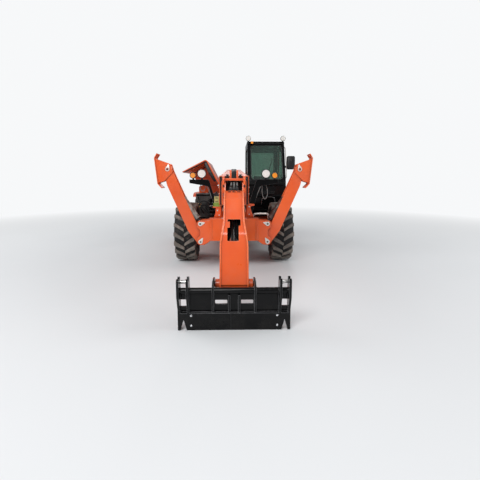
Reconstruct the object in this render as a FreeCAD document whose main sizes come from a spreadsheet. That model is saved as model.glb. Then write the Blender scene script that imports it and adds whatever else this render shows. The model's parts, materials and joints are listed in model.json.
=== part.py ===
# Telehandler: a wheeled machine with a telescopic boom beside its cab and two front stabilisers.
# Millimetres. +Z up, ground at zero, the machine faces -Y, its left side (the cab's) is +X.
import FreeCAD, Part
import math
import os
import re
import Sketcher

# Driving sizes, one spreadsheet row each
SIZES = {
    # Layout along the machine, from the origin midway between its two ends
    "front_axle_ahead": 490,
    "wheelbase": 2950,
    "carriage_reach": 3110,
    "tail_overhang": 1140,
    # Clearances
    "pin_play": 1,
    "side_play": 5,
    "seat_gap": 0.3,
    # Wheels and tyres
    "track_half": 942,
    "tyre_radius": 587.5,
    "tyre_width": 410,
    "carcass_radius": 546,
    "lug_count": 19,
    "lug_width": 48,
    "lug_reach": 214,
    "lug_angle": 33,
    "carcass_sides": 24,
    "rim_radius": 303,
    "rim_width": 330,
    "rim_wall": 15,
    "rim_flange": 25,
    "disc_offset": 12,
    "disc_wall": 18,
    "hub_radius": 150,
    "hub_inset": 35,
    "spindle_radius": 60,
    "spindle_length": 80,
    # Axles and knuckles
    "kingpin_half": 778,
    "axle_tube_radius": 80,
    "differential_radius": 150,
    "yoke_reach": 50,
    "yoke_half_height": 190,
    "yoke_arm": 50,
    "yoke_back": 50,
    "yoke_half_depth": 60,
    "knuckle_radius": 58,
    "knuckle_housing_radius": 110,
    # Main frame
    "frame_half": 270,
    "frame_wall": 25,
    "frame_low": 560,
    "frame_belly": 480,
    "frame_over_axle": 730,
    "frame_high": 960,
    "cheek_high": 1160,
    "tower_high": 1900,
    # Boom pivot and lift cylinder
    "pivot_back": 2850,
    "pivot_height": 1750,
    "boom_slope": 3.38,
    "pivot_pin_radius": 45,
    "pivot_boss_radius": 110,
    "lift_foot_back": 2150,
    "lift_foot_height": 850,
    "lift_lug_reach": 2100,
    "lift_lug_drop": 280,
    "lift_barrel_radius": 70,
    "lift_rod_radius": 40,
    "lift_eye_radius": 60,
    "lift_eye_half": 55,
    "lug_wall": 25,
    "lift_pin_radius": 30,
    # Boom sections
    "boom_reach": 4990,
    "boom_tail": 150,
    "outer_half_width": 220,
    "outer_half_height": 217,
    "outer_wall": 10,
    "section_play": 14,
    "middle_wall": 8,
    "inner_wall": 8,
    "section_step": 80,
    "wear_pad_length": 90,
    "inner_head": 330,
    # Neck and carriage pivots
    "neck_half_top": 124,
    "neck_half_low": 163,
    "neck_wall": 16,
    "neck_flange": 14,
    "neck_flare_high": 1120,
    "neck_flare_low": 885,
    "neck_root_lap": 60,
    "neck_brow_run": 340,
    "neck_brow_height": 1480,
    "neck_bend_run": 160,
    "neck_bend_height": 1380,
    "neck_knee_set": 65,
    "neck_knee_height": 1000,
    "head_rail_high": 1662,
    "head_guide_high": 1740,
    "head_web_high": 1633,
    "head_web_low": 1603,
    "neck_window_high": 1145,
    "neck_window_low": 912,
    "neck_window_half": 77,
    "tilt_back": 3315,
    "tilt_height": 434,
    "neck_foot_radius": 92,
    "neck_boss_radius": 55,
    "neck_boss_length": 50,
    "tilt_pin_radius": 30,
    "tilt_lug_back": 141,
    "tilt_lug_drop": 141,
    "tilt_top_back": 2790,
    "tilt_top_height": 1220,
    "tilt_barrel_radius": 45,
    "tilt_rod_radius": 22,
    "tilt_eye_radius": 40,
    "tilt_eye_half": 40,
    "clevis_wall": 20,
    # Carriage
    "carriage_half": 605,
    "carriage_height": 580,
    "carriage_depth": 130,
    "carriage_lean": 55,
    "slot_low": 273,
    "slot_high": 318,
    "end_slot_low": 250,
    "end_slot_high": 325,
    "foot_notch_high": 115,
    "hook_pin_radius": 16,
    "end_plate_wall": 25,
    "end_plate_gap": 75,
    "tube_radius": 34,
    "tube_height": 425,
    "face_plate_height": 187,
    "face_plate_wall": 16,
    "lock_bore_radius": 20,
    "lock_height": 100,
    "lock_set_back": 94,
    # Stabilisers
    "beam_ahead": 910,
    "beam_depth": 220,
    "beam_low": 550,
    "beam_high": 940,
    "beam_wall": 16,
    "ear_pin_half": 591,
    "ear_low": 536,
    "ear_rise": 319,
    "ear_wall": 25,
    "ear_radius": 58,
    "stab_pin_radius": 25,
    "arm_length": 1386,
    "arm_lean": 23.6,
    "arm_wall": 12,
    "arm_outer": 126,
    "arm_inner": 67,
    "arm_tip_radius": 52,
    "arm_head_radius": 66,
    "stab_eye_up": 1030,
    "stab_eye_out": 20,
    "stab_eye_radius": 38,
    "stab_eye_half": 32,
    "stab_barrel_radius": 45,
    "stab_rod_radius": 22,
    "pad_half_depth": 112,
    "pad_wall": 12,
    # Cab
    "cab_inner": 305,
    "cab_outer": 1150,
    "cab_wall": 40,
    "cab_front_back": 20,
    "cab_rear_back": 1500,
    "cab_low": 800,
    "cab_roof": 2510,
    "roof_thick": 50,
    "glass_wall": 6,
    "door_post_ahead": 420,
    "door_pin_out": 18,
    "windshield_low": 1640,
    "windshield_under_roof": 85,
    "window_sill": 1480,
    "window_under_roof": 145,
    # Lamps
    "lamp_half": 580,
    "lamp_height": 1735,
    "lamp_radius": 78,
    "signal_half": 740,
    "signal_height": 1705,
    "signal_radius": 55,
    "lamp_ahead": 1130,
    "lamp_bar_under": 170,
    "work_lamp_radius": 58,
    "work_lamp_over": 60,
    "beacon_radius": 28,
    # Engine side
    "bay_inner": 320,
    "bay_outer": 980,
    "bay_front_back": 260,
    "bay_length": 1400,
    "bay_low": 700,
    "bay_wall": 20,
    "hood_height": 1515,
    "hood_side": 620,
    "hood_wall": 22,
    "hood_open": 62.9,
    "hinge_pin_radius": 10,
    "hinge_eye_radius": 20,
    "hinge_length": 60,
    "tank_low": 430,
    "oil_tank_high": 640,
    "tank_high": 735,
    "counterweight_half": 700,
    "fender_reach": 620,
    "fender_inner": 550,
    "fender_outer": 1147,
    "fender_high": 1283,
    "fender_wall": 8,
    "fender_drop": 48,
    "mirror_inner": 1180,
    "mirror_outer": 1360,
    "mirror_low": 1865,
    "mirror_high": 2160,
    "valve_low": 880,
    "valve_high": 1120,
    "valve_reach": 585,
    "steering_radius": 190,
    "steering_grip": 14,
    "hood_end_drop": 420,
    "head_rail_wall": 26,
    "head_guide_half": 44,
    "head_guide_wall": 24,
}

doc = FreeCAD.newDocument("Telehandler")
sheet = doc.addObject("Spreadsheet::Sheet", "Sizes")


def fill_sheet():
    """One row per size: its name and its value, the name also being the cell's alias."""
    for row, (alias, value) in enumerate(SIZES.items(), start=1):
        sheet.set(f"A{row}", alias)
        sheet.set(f"B{row}", str(value))
        sheet.setAlias(f"B{row}", alias)
    doc.recompute()


def number(text):
    """The value of an expression written with the sheet's names."""
    value = sheet.evalExpression(str(text))
    return float(getattr(value, "Value", value))


def bound(text):
    """The same expression as another object of the document writes it."""
    return re.sub(r"[a-z_]+", lambda word: f"Sizes.{word[0]}" if word[0] in SIZES else word[0], str(text))


def bind(thing, **expressions):
    for path, text in expressions.items():
        thing.setExpression(path.replace("__", "."), bound(text))
    return thing


# Drawing planes: where a sketch's own x, y and normal point, and the way it is extruded
PLANES = {
    "side": ((0, 1, 0), (0, 0, 1), (1, 0, 0), "x"),
    "front": ((1, 0, 0), (0, 0, 1), (0, -1, 0), "y"),
    "top": ((1, 0, 0), (0, 1, 0), (0, 0, 1), "z"),
}
ALONG = {"x": (1, 0, 0), "y": (0, 1, 0), "z": (0, 0, 1)}


def vector(*parts):
    return FreeCAD.Vector(*parts)


def mirror_corner(corner):
    """The same corner on the other side of the drawing's upright axis."""
    return (f"-({corner[0]})", *corner[1:])


def draw_circle(sketch, loop):
    _, x_text, y_text, radius_text = loop
    centre = vector(number(x_text), number(y_text), 0)
    index = sketch.addGeometry(Part.Circle(centre, vector(0, 0, 1), number(radius_text)), False)
    for kind, text in (("DistanceX", x_text), ("DistanceY", y_text)):
        rule = sketch.addConstraint(Sketcher.Constraint(kind, index, 3, number(text)))
        sketch.setExpression(f"Constraints[{rule}]", bound(text))
    rule = sketch.addConstraint(Sketcher.Constraint("Radius", index, number(radius_text)))
    sketch.setExpression(f"Constraints[{rule}]", bound(radius_text))


def draw_polygon(sketch, corners):
    """Straight edges through the corners, each corner held by its two distances."""
    places = [vector(number(x), number(y), 0) for x, y in corners]
    lines = []
    for i, here in enumerate(places):
        edge = Part.LineSegment(here, places[(i + 1) % len(places)])
        lines.append(sketch.addGeometry(edge, False))
    joints = [Sketcher.Constraint("Coincident", lines[i - 1], 2, lines[i], 1) for i in range(len(lines))]
    sketch.addConstraint(joints)
    for line, (x, y) in zip(lines, corners):
        for kind, text in (("DistanceX", x), ("DistanceY", y)):
            rule = sketch.addConstraint(Sketcher.Constraint(kind, line, 1, number(text)))
            sketch.setExpression(f"Constraints[{rule}]", bound(text))


def rounded_wire(corners):
    """Straight edges through the corners; a corner's third entry is the radius that rounds it."""
    places = [vector(number(corner[0]), number(corner[1]), 0) for corner in corners]
    radii = [number(corner[2]) if len(corner) > 2 else 0 for corner in corners]
    count = len(corners)
    edges = []
    starts, ends = [], []
    for i in range(count):
        here, radius = places[i], radii[i]
        back = (places[i - 1] - here).normalize()
        forth = (places[(i + 1) % count] - here).normalize()
        half = back.getAngle(forth) / 2
        run = radius / math.tan(half)
        ends.append(here + back * run)
        starts.append(here + forth * run)
        if radius:
            bisector = (back + forth).normalize()
            nearest = here + bisector * (radius / math.sin(half) - radius)
            edges.append(Part.Arc(ends[i], nearest, starts[i]).toShape())
    for i in range(count):
        if starts[i].distanceToPoint(ends[(i + 1) % count]) > 1e-6:
            edges.append(Part.LineSegment(starts[i], ends[(i + 1) % count]).toShape())
    return Part.Wire(Part.__sortEdges__(edges))


def loop_wire(loop):
    if loop[0] == "circle":
        _, x, y, radius = loop
        return Part.Wire(Part.makeCircle(number(radius), vector(number(x), number(y), 0)))
    return rounded_wire(loop)


def outline(name, plane, start, loops):
    """A closed outline in a drawing plane, set off along the plane's normal by start.

    Sharp outlines are sketches; one with rounded corners is a face made from the same sizes."""
    x_axis, y_axis, normal, letter = PLANES[plane]
    turn = FreeCAD.Rotation(vector(*x_axis), vector(*y_axis), vector(*normal), "ZXY")
    if any(len(corner) > 2 for loop in loops if loop[0] != "circle" for corner in loop):
        drawing = doc.addObject("Part::Feature", name + "_outline")
        drawing.Shape = Part.makeFace([loop_wire(loop) for loop in loops], "Part::FaceMakerBullseye")
    else:
        drawing = doc.addObject("Sketcher::SketchObject", name + "_outline")
        for loop in loops:
            if loop[0] == "circle":
                draw_circle(drawing, loop)
            else:
                draw_polygon(drawing, loop)
    drawing.Placement = FreeCAD.Placement(vector(0, 0, 0), turn)
    drawing.setExpression(f"Placement.Base.{letter}", bound(start))
    return drawing


def slab(name, plane, start, end, *loops):
    """A flat piece: its outline and its holes, extruded from start to end."""
    solid = doc.addObject("Part::Extrusion", name)
    solid.Base = outline(name, plane, start, loops)
    solid.DirMode = "Custom"
    solid.Dir = vector(*ALONG[PLANES[plane][3]])
    solid.Solid = True
    return bind(solid, LengthFwd=f"({end}) - ({start})")


def turned(name, plane, axis, *loops):
    """A round piece: its half profile turned once about an axis through the plane's origin."""
    solid = doc.addObject("Part::Revolution", name)
    solid.Source = outline(name, plane, 0, loops)
    solid.Axis = vector(*ALONG[axis])
    solid.Angle = 360
    solid.Solid = True
    return solid


# Turns that lay a cylinder, which stands along Z, along another axis
LAID = {"x": ((0, 1, 0), 90), "y": ((1, 0, 0), -90), "z": ((0, 0, 1), 0)}


def bar(name, axis, radius, start, end, **centre):
    """A round bar along an axis from start to end, its centre given on the other two axes."""
    solid = doc.addObject("Part::Cylinder", name)
    direction, angle = LAID[axis]
    solid.Placement = FreeCAD.Placement(vector(0, 0, 0), FreeCAD.Rotation(vector(*direction), angle))
    solid.setExpression(f"Placement.Base.{axis}", bound(start))
    for letter, text in centre.items():
        solid.setExpression(f"Placement.Base.{letter}", bound(text))
    return bind(solid, Radius=radius, Height=f"({end}) - ({start})")


def block(name, low, high):
    """A box between two corners, each given as three expressions."""
    solid = doc.addObject("Part::Box", name)
    for letter, size, first, last in zip("xyz", ("Length", "Width", "Height"), low, high):
        solid.setExpression(f"Placement.Base.{letter}", bound(first))
        solid.setExpression(size, bound(f"({last}) - ({first})"))
    return solid


def fused(name, *pieces):
    solid = doc.addObject("Part::MultiFuse", name)
    solid.Shapes = list(pieces)
    solid.Refine = True
    return solid


def common(name, *pieces):
    """Only what all the pieces share."""
    solid = doc.addObject("Part::MultiCommon", name)
    solid.Shapes = list(pieces)
    return solid


def cut(name, base, *tools):
    solid = doc.addObject("Part::Cut", name)
    solid.Base = base
    solid.Tool = tools[0] if len(tools) == 1 else fused(name + "_tools", *tools)
    return solid


def mirrored(name, source):
    """The same piece on the machine's other side."""
    solid = doc.addObject("Part::Mirroring", name)
    solid.Source = source
    solid.Normal = vector(1, 0, 0)
    return solid


def group(name, *pieces):
    """Separate solids that share one node."""
    solid = doc.addObject("Part::Compound", name)
    solid.Links = list(pieces)
    return solid


def place(solid, axis=None, angle=0, **base):
    """Turn a piece about an axis by an angle, then move it."""
    if axis:
        solid.Placement = FreeCAD.Placement(vector(0, 0, 0), FreeCAD.Rotation(vector(*ALONG[axis]), 10))
        solid.setExpression("Placement.Rotation.Angle", bound(angle))
    for letter, text in base.items():
        solid.setExpression(f"Placement.Base.{letter}", bound(text))
    return solid


NODES = []


def node(label, solid):
    """Marks a finished sub-part; its label names its file."""
    solid.Label = label
    NODES.append(solid)
    return solid


fill_sheet()

FRONT_AXLE = "-front_axle_ahead"
REAR_AXLE = "(wheelbase - front_axle_ahead)"
BEAM_FRONT = "(-front_axle_ahead - beam_ahead)"
BEAM_BACK = f"({BEAM_FRONT} + beam_depth)"
TAIL = f"({REAR_AXLE} + tail_overhang)"
FRAME_IN = "(frame_half - frame_wall)"


def main_frame():
    """Two side plates with the boom's tower at the back, cross plates and the lift cylinder's foot."""
    rise = [
        (BEAM_BACK, "frame_low"),
        (BEAM_BACK, "beam_high"),
        (f"{BEAM_BACK} + 90", "cheek_high", "60"),
        (f"{BEAM_BACK} + 560", "cheek_high", "120"),
        (f"{BEAM_BACK} + 700", "frame_high", "120"),
        ("pivot_back - 620", "frame_high", "200"),
        ("pivot_back - 150", "tower_high", "80"),
        ("pivot_back + 150", "tower_high", "80"),
        ("pivot_back + 260", "frame_high + 130", "120"),
        (f"{TAIL} - 220", "frame_high + 90"),
        (f"{TAIL} - 220", "frame_low"),
        (f"{REAR_AXLE} + 330", "frame_low", "60"),
        (f"{REAR_AXLE} + 170", "frame_over_axle", "60"),
        (f"{REAR_AXLE} - 170", "frame_over_axle", "60"),
        (f"{REAR_AXLE} - 400", "frame_belly", "60"),
        (f"{FRONT_AXLE} + 400", "frame_belly", "60"),
        (f"{FRONT_AXLE} + 170", "frame_over_axle", "60"),
        (f"{FRONT_AXLE} - 170", "frame_over_axle", "60"),
        (f"{FRONT_AXLE} - 330", "frame_low", "60"),
    ]
    pivot = ("circle", "pivot_back", "pivot_height", "pivot_pin_radius + pin_play")
    left = slab("frame_left", "side", FRAME_IN, "frame_half", rise, pivot)
    right = slab("frame_right", "side", "-frame_half", f"-{FRAME_IN}", rise, pivot)
    span = FRAME_IN
    belly = block(
        "frame_belly_plate",
        (f"-{span}", f"{FRONT_AXLE} + 420", "frame_belly"),
        (span, f"{REAR_AXLE} - 420", "frame_belly + frame_wall"),
    )
    front = block(
        "frame_front_plate",
        (f"-{span}", BEAM_BACK, "frame_low"),
        (span, f"{BEAM_BACK} + frame_wall", "beam_high"),
    )
    foot_plate = block(
        "frame_foot_plate",
        (f"-{span}", "lift_foot_back + 140", "frame_over_axle"),
        (span, "lift_foot_back + 140 + frame_wall", "frame_high - 20"),
    )
    mid_plate = block(
        "frame_mid_plate",
        (f"-{span}", f"{FRONT_AXLE} + 700", "frame_belly"),
        (span, f"{FRONT_AXLE} + 700 + frame_wall", "frame_high - 60"),
    )
    back_plate = block(
        "frame_back_plate",
        (f"-{span}", f"{TAIL} - 220 - frame_wall", "frame_low"),
        (span, f"{TAIL} - 220", "frame_high + 90"),
    )
    lug = [
        ("lift_foot_back - 70", "lift_foot_height - 70", "60"),
        ("lift_foot_back + 145", "lift_foot_height - 90"),
        ("lift_foot_back + 145", "lift_foot_height + 80"),
        ("lift_foot_back - 70", "lift_foot_height + 70", "60"),
    ]
    hole = ("circle", "lift_foot_back", "lift_foot_height", "lift_pin_radius + pin_play")
    gap = "(lift_eye_half + side_play)"
    lug_left = slab("foot_lug_left", "side", gap, f"{gap} + lug_wall", lug, hole)
    lug_right = slab("foot_lug_right", "side", f"-{gap} - lug_wall", f"-{gap}", lug, hole)
    outriggers = []
    for rank, back_place in (("front", "cab_front_back + 420"), ("rear", "cab_rear_back - 130")):
        outriggers.append(block(f"cab_outrigger_{rank}",
                                ("frame_half - 2", back_place, "tank_high + seat_gap"),
                                ("cab_outer - 120", f"{back_place} + 80", "cab_low - seat_gap")))
    for rank, back_place in (("front", "bay_front_back + 60"),
                             ("rear", "bay_front_back + bay_length - 140")):
        outriggers.append(block(f"bay_outrigger_{rank}",
                                ("-bay_outer + 60", back_place, "oil_tank_high + seat_gap"),
                                ("-frame_half + 2", f"{back_place} + 80", "bay_low - seat_gap")))
    return node("main_frame", fused("main_frame_body", left, right, belly, front, foot_plate, mid_plate,
                                    back_plate,
                                    lug_left, lug_right, *outriggers))


def pivot_pins():
    """The boom's pivot pin and the pin in the lift cylinder's foot."""
    pivot = bar("boom_pivot_pin", "x", "pivot_pin_radius", "-frame_half - 15", "frame_half + 15",
                y="pivot_back", z="pivot_height")
    foot = bar("lift_foot_pin", "x", "lift_pin_radius", "-lift_eye_half - side_play - lug_wall - 12",
               "lift_eye_half + side_play + lug_wall + 12", y="lift_foot_back", z="lift_foot_height")
    return node("pivot_pins", group("pivot_pins_group", pivot, foot))


def stabiliser_beam():
    """The hollow cross beam with two pairs of ears, each pair carrying two pins."""
    reach = "(ear_pin_half - 150)"
    box = slab(
        "beam_box", "side", f"-{reach}", reach,
        [(BEAM_FRONT, "beam_low"), (BEAM_BACK, "beam_low"), (BEAM_BACK, "beam_high"),
         (BEAM_FRONT, "beam_high")],
        [(f"{BEAM_FRONT} + beam_wall", "beam_low + beam_wall"),
         (f"{BEAM_BACK} - beam_wall", "beam_low + beam_wall"),
         (f"{BEAM_BACK} - beam_wall", "beam_high - beam_wall"),
         (f"{BEAM_FRONT} + beam_wall", "beam_high - beam_wall")],
    )
    pieces = [box]
    low, high = "ear_low", "(ear_low + ear_rise)"
    for side, sign in (("left", ""), ("right", "-")):
        ear = [
            (f"{sign}({reach} - 60)", "beam_low + 20"),
            (f"{sign}(ear_pin_half - 70)", f"{low} - ear_radius", "30"),
            (f"{sign}(ear_pin_half + ear_radius)", f"{low} - ear_radius", "ear_radius - 5"),
            (f"{sign}(ear_pin_half + ear_radius)", f"{low} + 60", "20"),
            (f"{sign}(ear_pin_half + 5)", f"{low} + 110", "80"),
            (f"{sign}(ear_pin_half + 5)", f"{high} - 110", "80"),
            (f"{sign}(ear_pin_half + ear_radius)", f"{high} - 60", "20"),
            (f"{sign}(ear_pin_half + ear_radius)", f"{high} + ear_radius", "ear_radius - 5"),
            (f"{sign}(ear_pin_half - 80)", f"{high} + ear_radius", "40"),
            (f"{sign}({reach} - 60)", "beam_high - 10"),
        ]
        ear_front = slab(f"ear_front_{side}", "front", BEAM_FRONT, f"{BEAM_FRONT} + ear_wall", ear)
        ear_back = slab(f"ear_back_{side}", "front", f"{BEAM_BACK} - ear_wall", BEAM_BACK, ear)
        inner, outer = (f"{reach} - beam_wall", reach) if side == "left" else (f"-{reach}",
                                                                               f"-{reach} + beam_wall")
        end = block(f"beam_end_{side}", (inner, BEAM_FRONT, "beam_low"), (outer, BEAM_BACK, "beam_high"))
        pins = []
        for place_name, height in (("low", low), ("high", high)):
            pins.append(bar(f"ear_pin_{place_name}_{side}", "y", "stab_pin_radius", f"{BEAM_FRONT} - 12",
                            f"{BEAM_BACK} + 12", x=f"{sign}ear_pin_half", z=height))
        pieces += [ear_front, ear_back, end] + pins
    return node("stabiliser_beam", fused("stabiliser_beam_body", *pieces))


ARM_GAP = "(beam_depth / 2 - ear_wall)"
ARM_HALF = f"({ARM_GAP} - side_play)"
BEAM_MIDDLE = f"({BEAM_FRONT} + beam_depth / 2)"


def stabiliser_arm():
    """A channel, open towards the machine, between its ear pin and its pad's pin."""
    flange = [
        ("-arm_tip_radius", "-arm_tip_radius", "arm_tip_radius - 4"),
        ("arm_tip_radius", "-arm_tip_radius", "arm_tip_radius - 4"),
        ("arm_outer", "250", "150"),
        ("arm_outer", "arm_length - 250", "150"),
        ("arm_head_radius", "arm_length + arm_head_radius", "arm_head_radius - 5"),
        ("-arm_head_radius", "arm_length + arm_head_radius", "arm_head_radius - 5"),
        ("-arm_inner", "arm_length - 300"),
        ("-arm_inner", "260", "150"),
    ]
    front = slab("arm_flange_front", "front", f"-{ARM_HALF}", f"-{ARM_HALF} + arm_wall", flange)
    back = slab("arm_flange_back", "front", f"{ARM_HALF} - arm_wall", ARM_HALF, flange)
    web = block("arm_web", ("arm_outer - arm_wall", f"-{ARM_HALF}", "260"),
                ("arm_outer", ARM_HALF, "arm_length - 260"))
    foot = bar("arm_foot_boss", "y", "arm_tip_radius - 4", f"-{ARM_HALF}", ARM_HALF, x="0", z="0")
    head = bar("arm_head_boss", "y", "arm_head_radius - 8", f"-{ARM_HALF}", ARM_HALF, x="0", z="arm_length")
    bore_low = bar("arm_foot_bore", "y", "stab_pin_radius + pin_play", f"-{ARM_HALF} - 5",
                   f"{ARM_HALF} + 5",
                   x="0", z="0")
    bore_high = bar("arm_head_bore", "y", "stab_pin_radius + pin_play", f"-{ARM_HALF} - 5",
                    f"{ARM_HALF} + 5",
                    x="0", z="arm_length")
    arm = cut("arm_shape", fused("arm_raw", front, back, web, foot, head), bore_low, bore_high)
    return place(arm, "y", "arm_lean", x="ear_pin_half", y=BEAM_MIDDLE, z="ear_low")


def stabiliser_pad():
    """Two triangular cheeks on one pin, carrying a sole plate with turned ends."""
    cheek = [
        ("-48", "88", "30"),
        ("213", "182"),
        ("168", "-238"),
        ("60", "-205"),
        ("-88", "-50", "30"),
    ]
    near = f"({ARM_HALF} + side_play)"
    front = slab("pad_cheek_front", "front", f"-{near} - pad_wall", f"-{near}", cheek)
    back = slab("pad_cheek_back", "front", near, f"{near} + pad_wall", cheek)
    sole = slab(
        "pad_sole", "front", "-pad_half_depth", "pad_half_depth",
        [("175", "269"), ("222", "192", "30"), ("175", "-253", "40"), ("107", "-328"),
         ("107 - pad_wall", "-328 + pad_wall"), ("175 - pad_wall", "-253 + pad_wall / 2", "28"),
         ("222 - pad_wall", "192", "18"), ("175 - pad_wall", "269 - pad_wall / 2")],
    )
    pin = bar("pad_pin", "y", "stab_pin_radius", f"-{near} - pad_wall - 10", f"{near} + pad_wall + 10",
              x="0", z="0")
    pad = fused("pad_shape", front, back, sole, pin)
    reach_x = "ear_pin_half + arm_length * sin(arm_lean)"
    reach_z = "ear_low + arm_length * cos(arm_lean)"
    return place(pad, x=reach_x, y=BEAM_MIDDLE, z=reach_z)


STAB_EYE_X = "(stab_eye_out * cos(arm_lean) + stab_eye_up * sin(arm_lean))"
STAB_EYE_Z = "(stab_eye_up * cos(arm_lean) - stab_eye_out * sin(arm_lean) - ear_rise)"
STAB_LENGTH = f"sqrt({STAB_EYE_X} * {STAB_EYE_X} + {STAB_EYE_Z} * {STAB_EYE_Z})"
STAB_ANGLE = f"atan2({STAB_EYE_X}; {STAB_EYE_Z})"
STAB_BARREL_END = "560"


def cylinder_barrel(name, eye_radius, eye_half, pin_bore, barrel_radius, rod_radius, length):
    """A cylinder's tube along +Z with the eye at its foot; the eye's bore lies along the given axis Y."""
    eye = bar(f"{name}_eye", "y", eye_radius, f"-({eye_half})", eye_half, x="0", z="0")
    tube = turned(
        f"{name}_tube", "front", "z",
        [("0", f"{eye_radius} * 0.6"), (f"({eye_half}) * 0.85", f"{eye_radius} * 0.6"),
         (f"({eye_half}) * 0.85", f"{eye_radius} + 40"), (barrel_radius, f"{eye_radius} + 60"),
         (barrel_radius, length),
         (f"{rod_radius} + pin_play", length), (f"{rod_radius} + pin_play", f"{eye_radius} + 60"),
         ("0", f"{eye_radius} + 60")],
    )
    hole = bar(f"{name}_bore", "y", pin_bore, f"-({eye_half}) - 5", f"({eye_half}) + 5", x="0", z="0")
    return cut(f"{name}_shape", fused(f"{name}_raw", eye, tube), hole)


def cylinder_rod(name, eye_radius, eye_half, rod_radius, start, length):
    """A rod along +Z from start to the eye at its far end."""
    eye = bar(f"{name}_eye", "y", eye_radius, f"-({eye_half})", eye_half, x="0", z=length)
    stem = bar(f"{name}_stem", "z", rod_radius, start, length, x="0", y="0")
    return fused(f"{name}_shape", eye, stem)


def stabiliser_cylinder():
    barrel = cylinder_barrel("stab_barrel", "stab_eye_radius", "stab_eye_half",
                             "stab_pin_radius + pin_play",
                             "stab_barrel_radius", "stab_rod_radius", STAB_BARREL_END)
    rod = cylinder_rod("stab_rod", "stab_eye_radius", "stab_eye_half", "stab_rod_radius", "120",
                       STAB_LENGTH)
    for piece in (barrel, rod):
        place(piece, "y", STAB_ANGLE, x="ear_pin_half", y=BEAM_MIDDLE, z="ear_low + ear_rise")
    return barrel, rod


def stabilisers():
    arm, pad = stabiliser_arm(), stabiliser_pad()
    barrel, rod = stabiliser_cylinder()
    for label, solid in (("arm", arm), ("pad", pad), ("cylinder_barrel", barrel), ("cylinder_rod", rod)):
        node(f"stabiliser_{label}_left", solid)
        node(f"stabiliser_{label}_right", mirrored(f"{label}_right", solid))


def axle(label, centre):
    """The housing with its differential and a yoke at each end."""
    housing = turned(
        f"{label}_housing", "front", "x",
        [("-kingpin_half + 75", "0"), ("-kingpin_half + 75", "axle_tube_radius"),
         ("-260", "axle_tube_radius + 8", "100"), ("-110", "differential_radius", "60"),
         ("110", "differential_radius", "60"), ("260", "axle_tube_radius + 8", "100"),
         ("kingpin_half - 75", "axle_tube_radius"), ("kingpin_half - 75", "0")],
    )
    pieces = [housing]
    for side, sign in (("left", ""), ("right", "-")):
        inner = f"{sign}(kingpin_half - 75 - yoke_back)"
        bay = f"{sign}(kingpin_half - 75)"
        outer = f"{sign}(kingpin_half + yoke_reach)"
        yoke = slab(
            f"{label}_yoke_{side}", "front", "-yoke_half_depth", "yoke_half_depth",
            [(inner, "-yoke_half_height + 40"), (bay, "-yoke_half_height"), (outer, "-yoke_half_height"),
             (outer, "yoke_arm - yoke_half_height"), (bay, "yoke_arm - yoke_half_height"),
             (bay, "yoke_half_height - yoke_arm"), (outer, "yoke_half_height - yoke_arm"),
             (outer, "yoke_half_height"), (bay, "yoke_half_height"), (inner, "yoke_half_height - 40")],
        )
        pieces.append(yoke)
    for side, low, high in (("left", FRAME_IN, "frame_half"), ("right", "-frame_half", f"-{FRAME_IN}")):
        pieces.append(block(f"{label}_saddle_{side}", (low, "-100", "0"),
                            (high, "100", "frame_over_axle - tyre_radius")))
    return node(label, place(fused(f"{label}_body", *pieces), y=centre, z="tyre_radius"))


def knuckle():
    """The king pin's column between the yoke's arms, and the housing and spindle that carry the wheel."""
    tall = "(yoke_half_height - yoke_arm - seat_gap)"
    column = bar("knuckle_column", "z", "knuckle_radius", f"-{tall}", tall, x="kingpin_half", y="0")
    spindle = turned(
        "knuckle_spindle", "front", "x",
        [("kingpin_half + 10", "0"), ("kingpin_half + 10", "knuckle_housing_radius"),
         ("track_half - hub_inset - 10", "knuckle_housing_radius"),
         ("track_half - hub_inset - 10", "spindle_radius"),
         ("track_half - hub_inset + spindle_length - 10", "spindle_radius"),
         ("track_half - hub_inset + spindle_length - 10", "0")],
    )
    return fused("knuckle_shape", column, spindle)


def rim():
    """The drop-centre barrel with its flanges, the disc and the hub that covers the spindle."""
    inner, outer = "(track_half - rim_width / 2)", "(track_half + rim_width / 2)"
    face = "(track_half - hub_inset)"
    disc = "(track_half + disc_offset)"
    bore = "spindle_radius + pin_play"
    return turned(
        "rim_shape", "front", "x",
        [(face, bore), (face, "hub_radius"), (disc, "hub_radius"), (disc, "rim_radius - rim_wall"),
         (inner, "rim_radius - rim_wall"), (inner, "rim_radius + rim_flange"),
         (f"{inner} + rim_wall", "rim_radius + rim_flange"), (f"{inner} + rim_wall", "rim_radius"),
         (f"{outer} - rim_wall", "rim_radius"), (f"{outer} - rim_wall", "rim_radius + rim_flange"),
         (outer, "rim_radius + rim_flange"), (outer, "rim_radius - rim_wall"),
         (f"{disc} + disc_wall", "rim_radius - rim_wall"), (f"{disc} + disc_wall", "hub_radius"),
         ("track_half + 90", "hub_radius"), ("track_half + 90", "hub_radius - 55"),
         ("track_half + 130", "hub_radius - 70"), ("track_half + 130", "0"),
         (f"{face} + spindle_length", "0"), (f"{face} + spindle_length", bore)],
    )


# The carcass from its tread to its bead: how far out on the axle, and its radius
CARCASS = (
    ("tyre_width / 2 - 24", "carcass_radius"),
    ("tyre_width / 2", "tyre_radius - 150"),
    ("rim_width / 2 - rim_wall - 1", "rim_radius + rim_flange + 12"),
    ("rim_width / 2 - rim_wall - 1", "(rim_radius + seat_gap) / cos(180 / carcass_sides)"),
)


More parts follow.
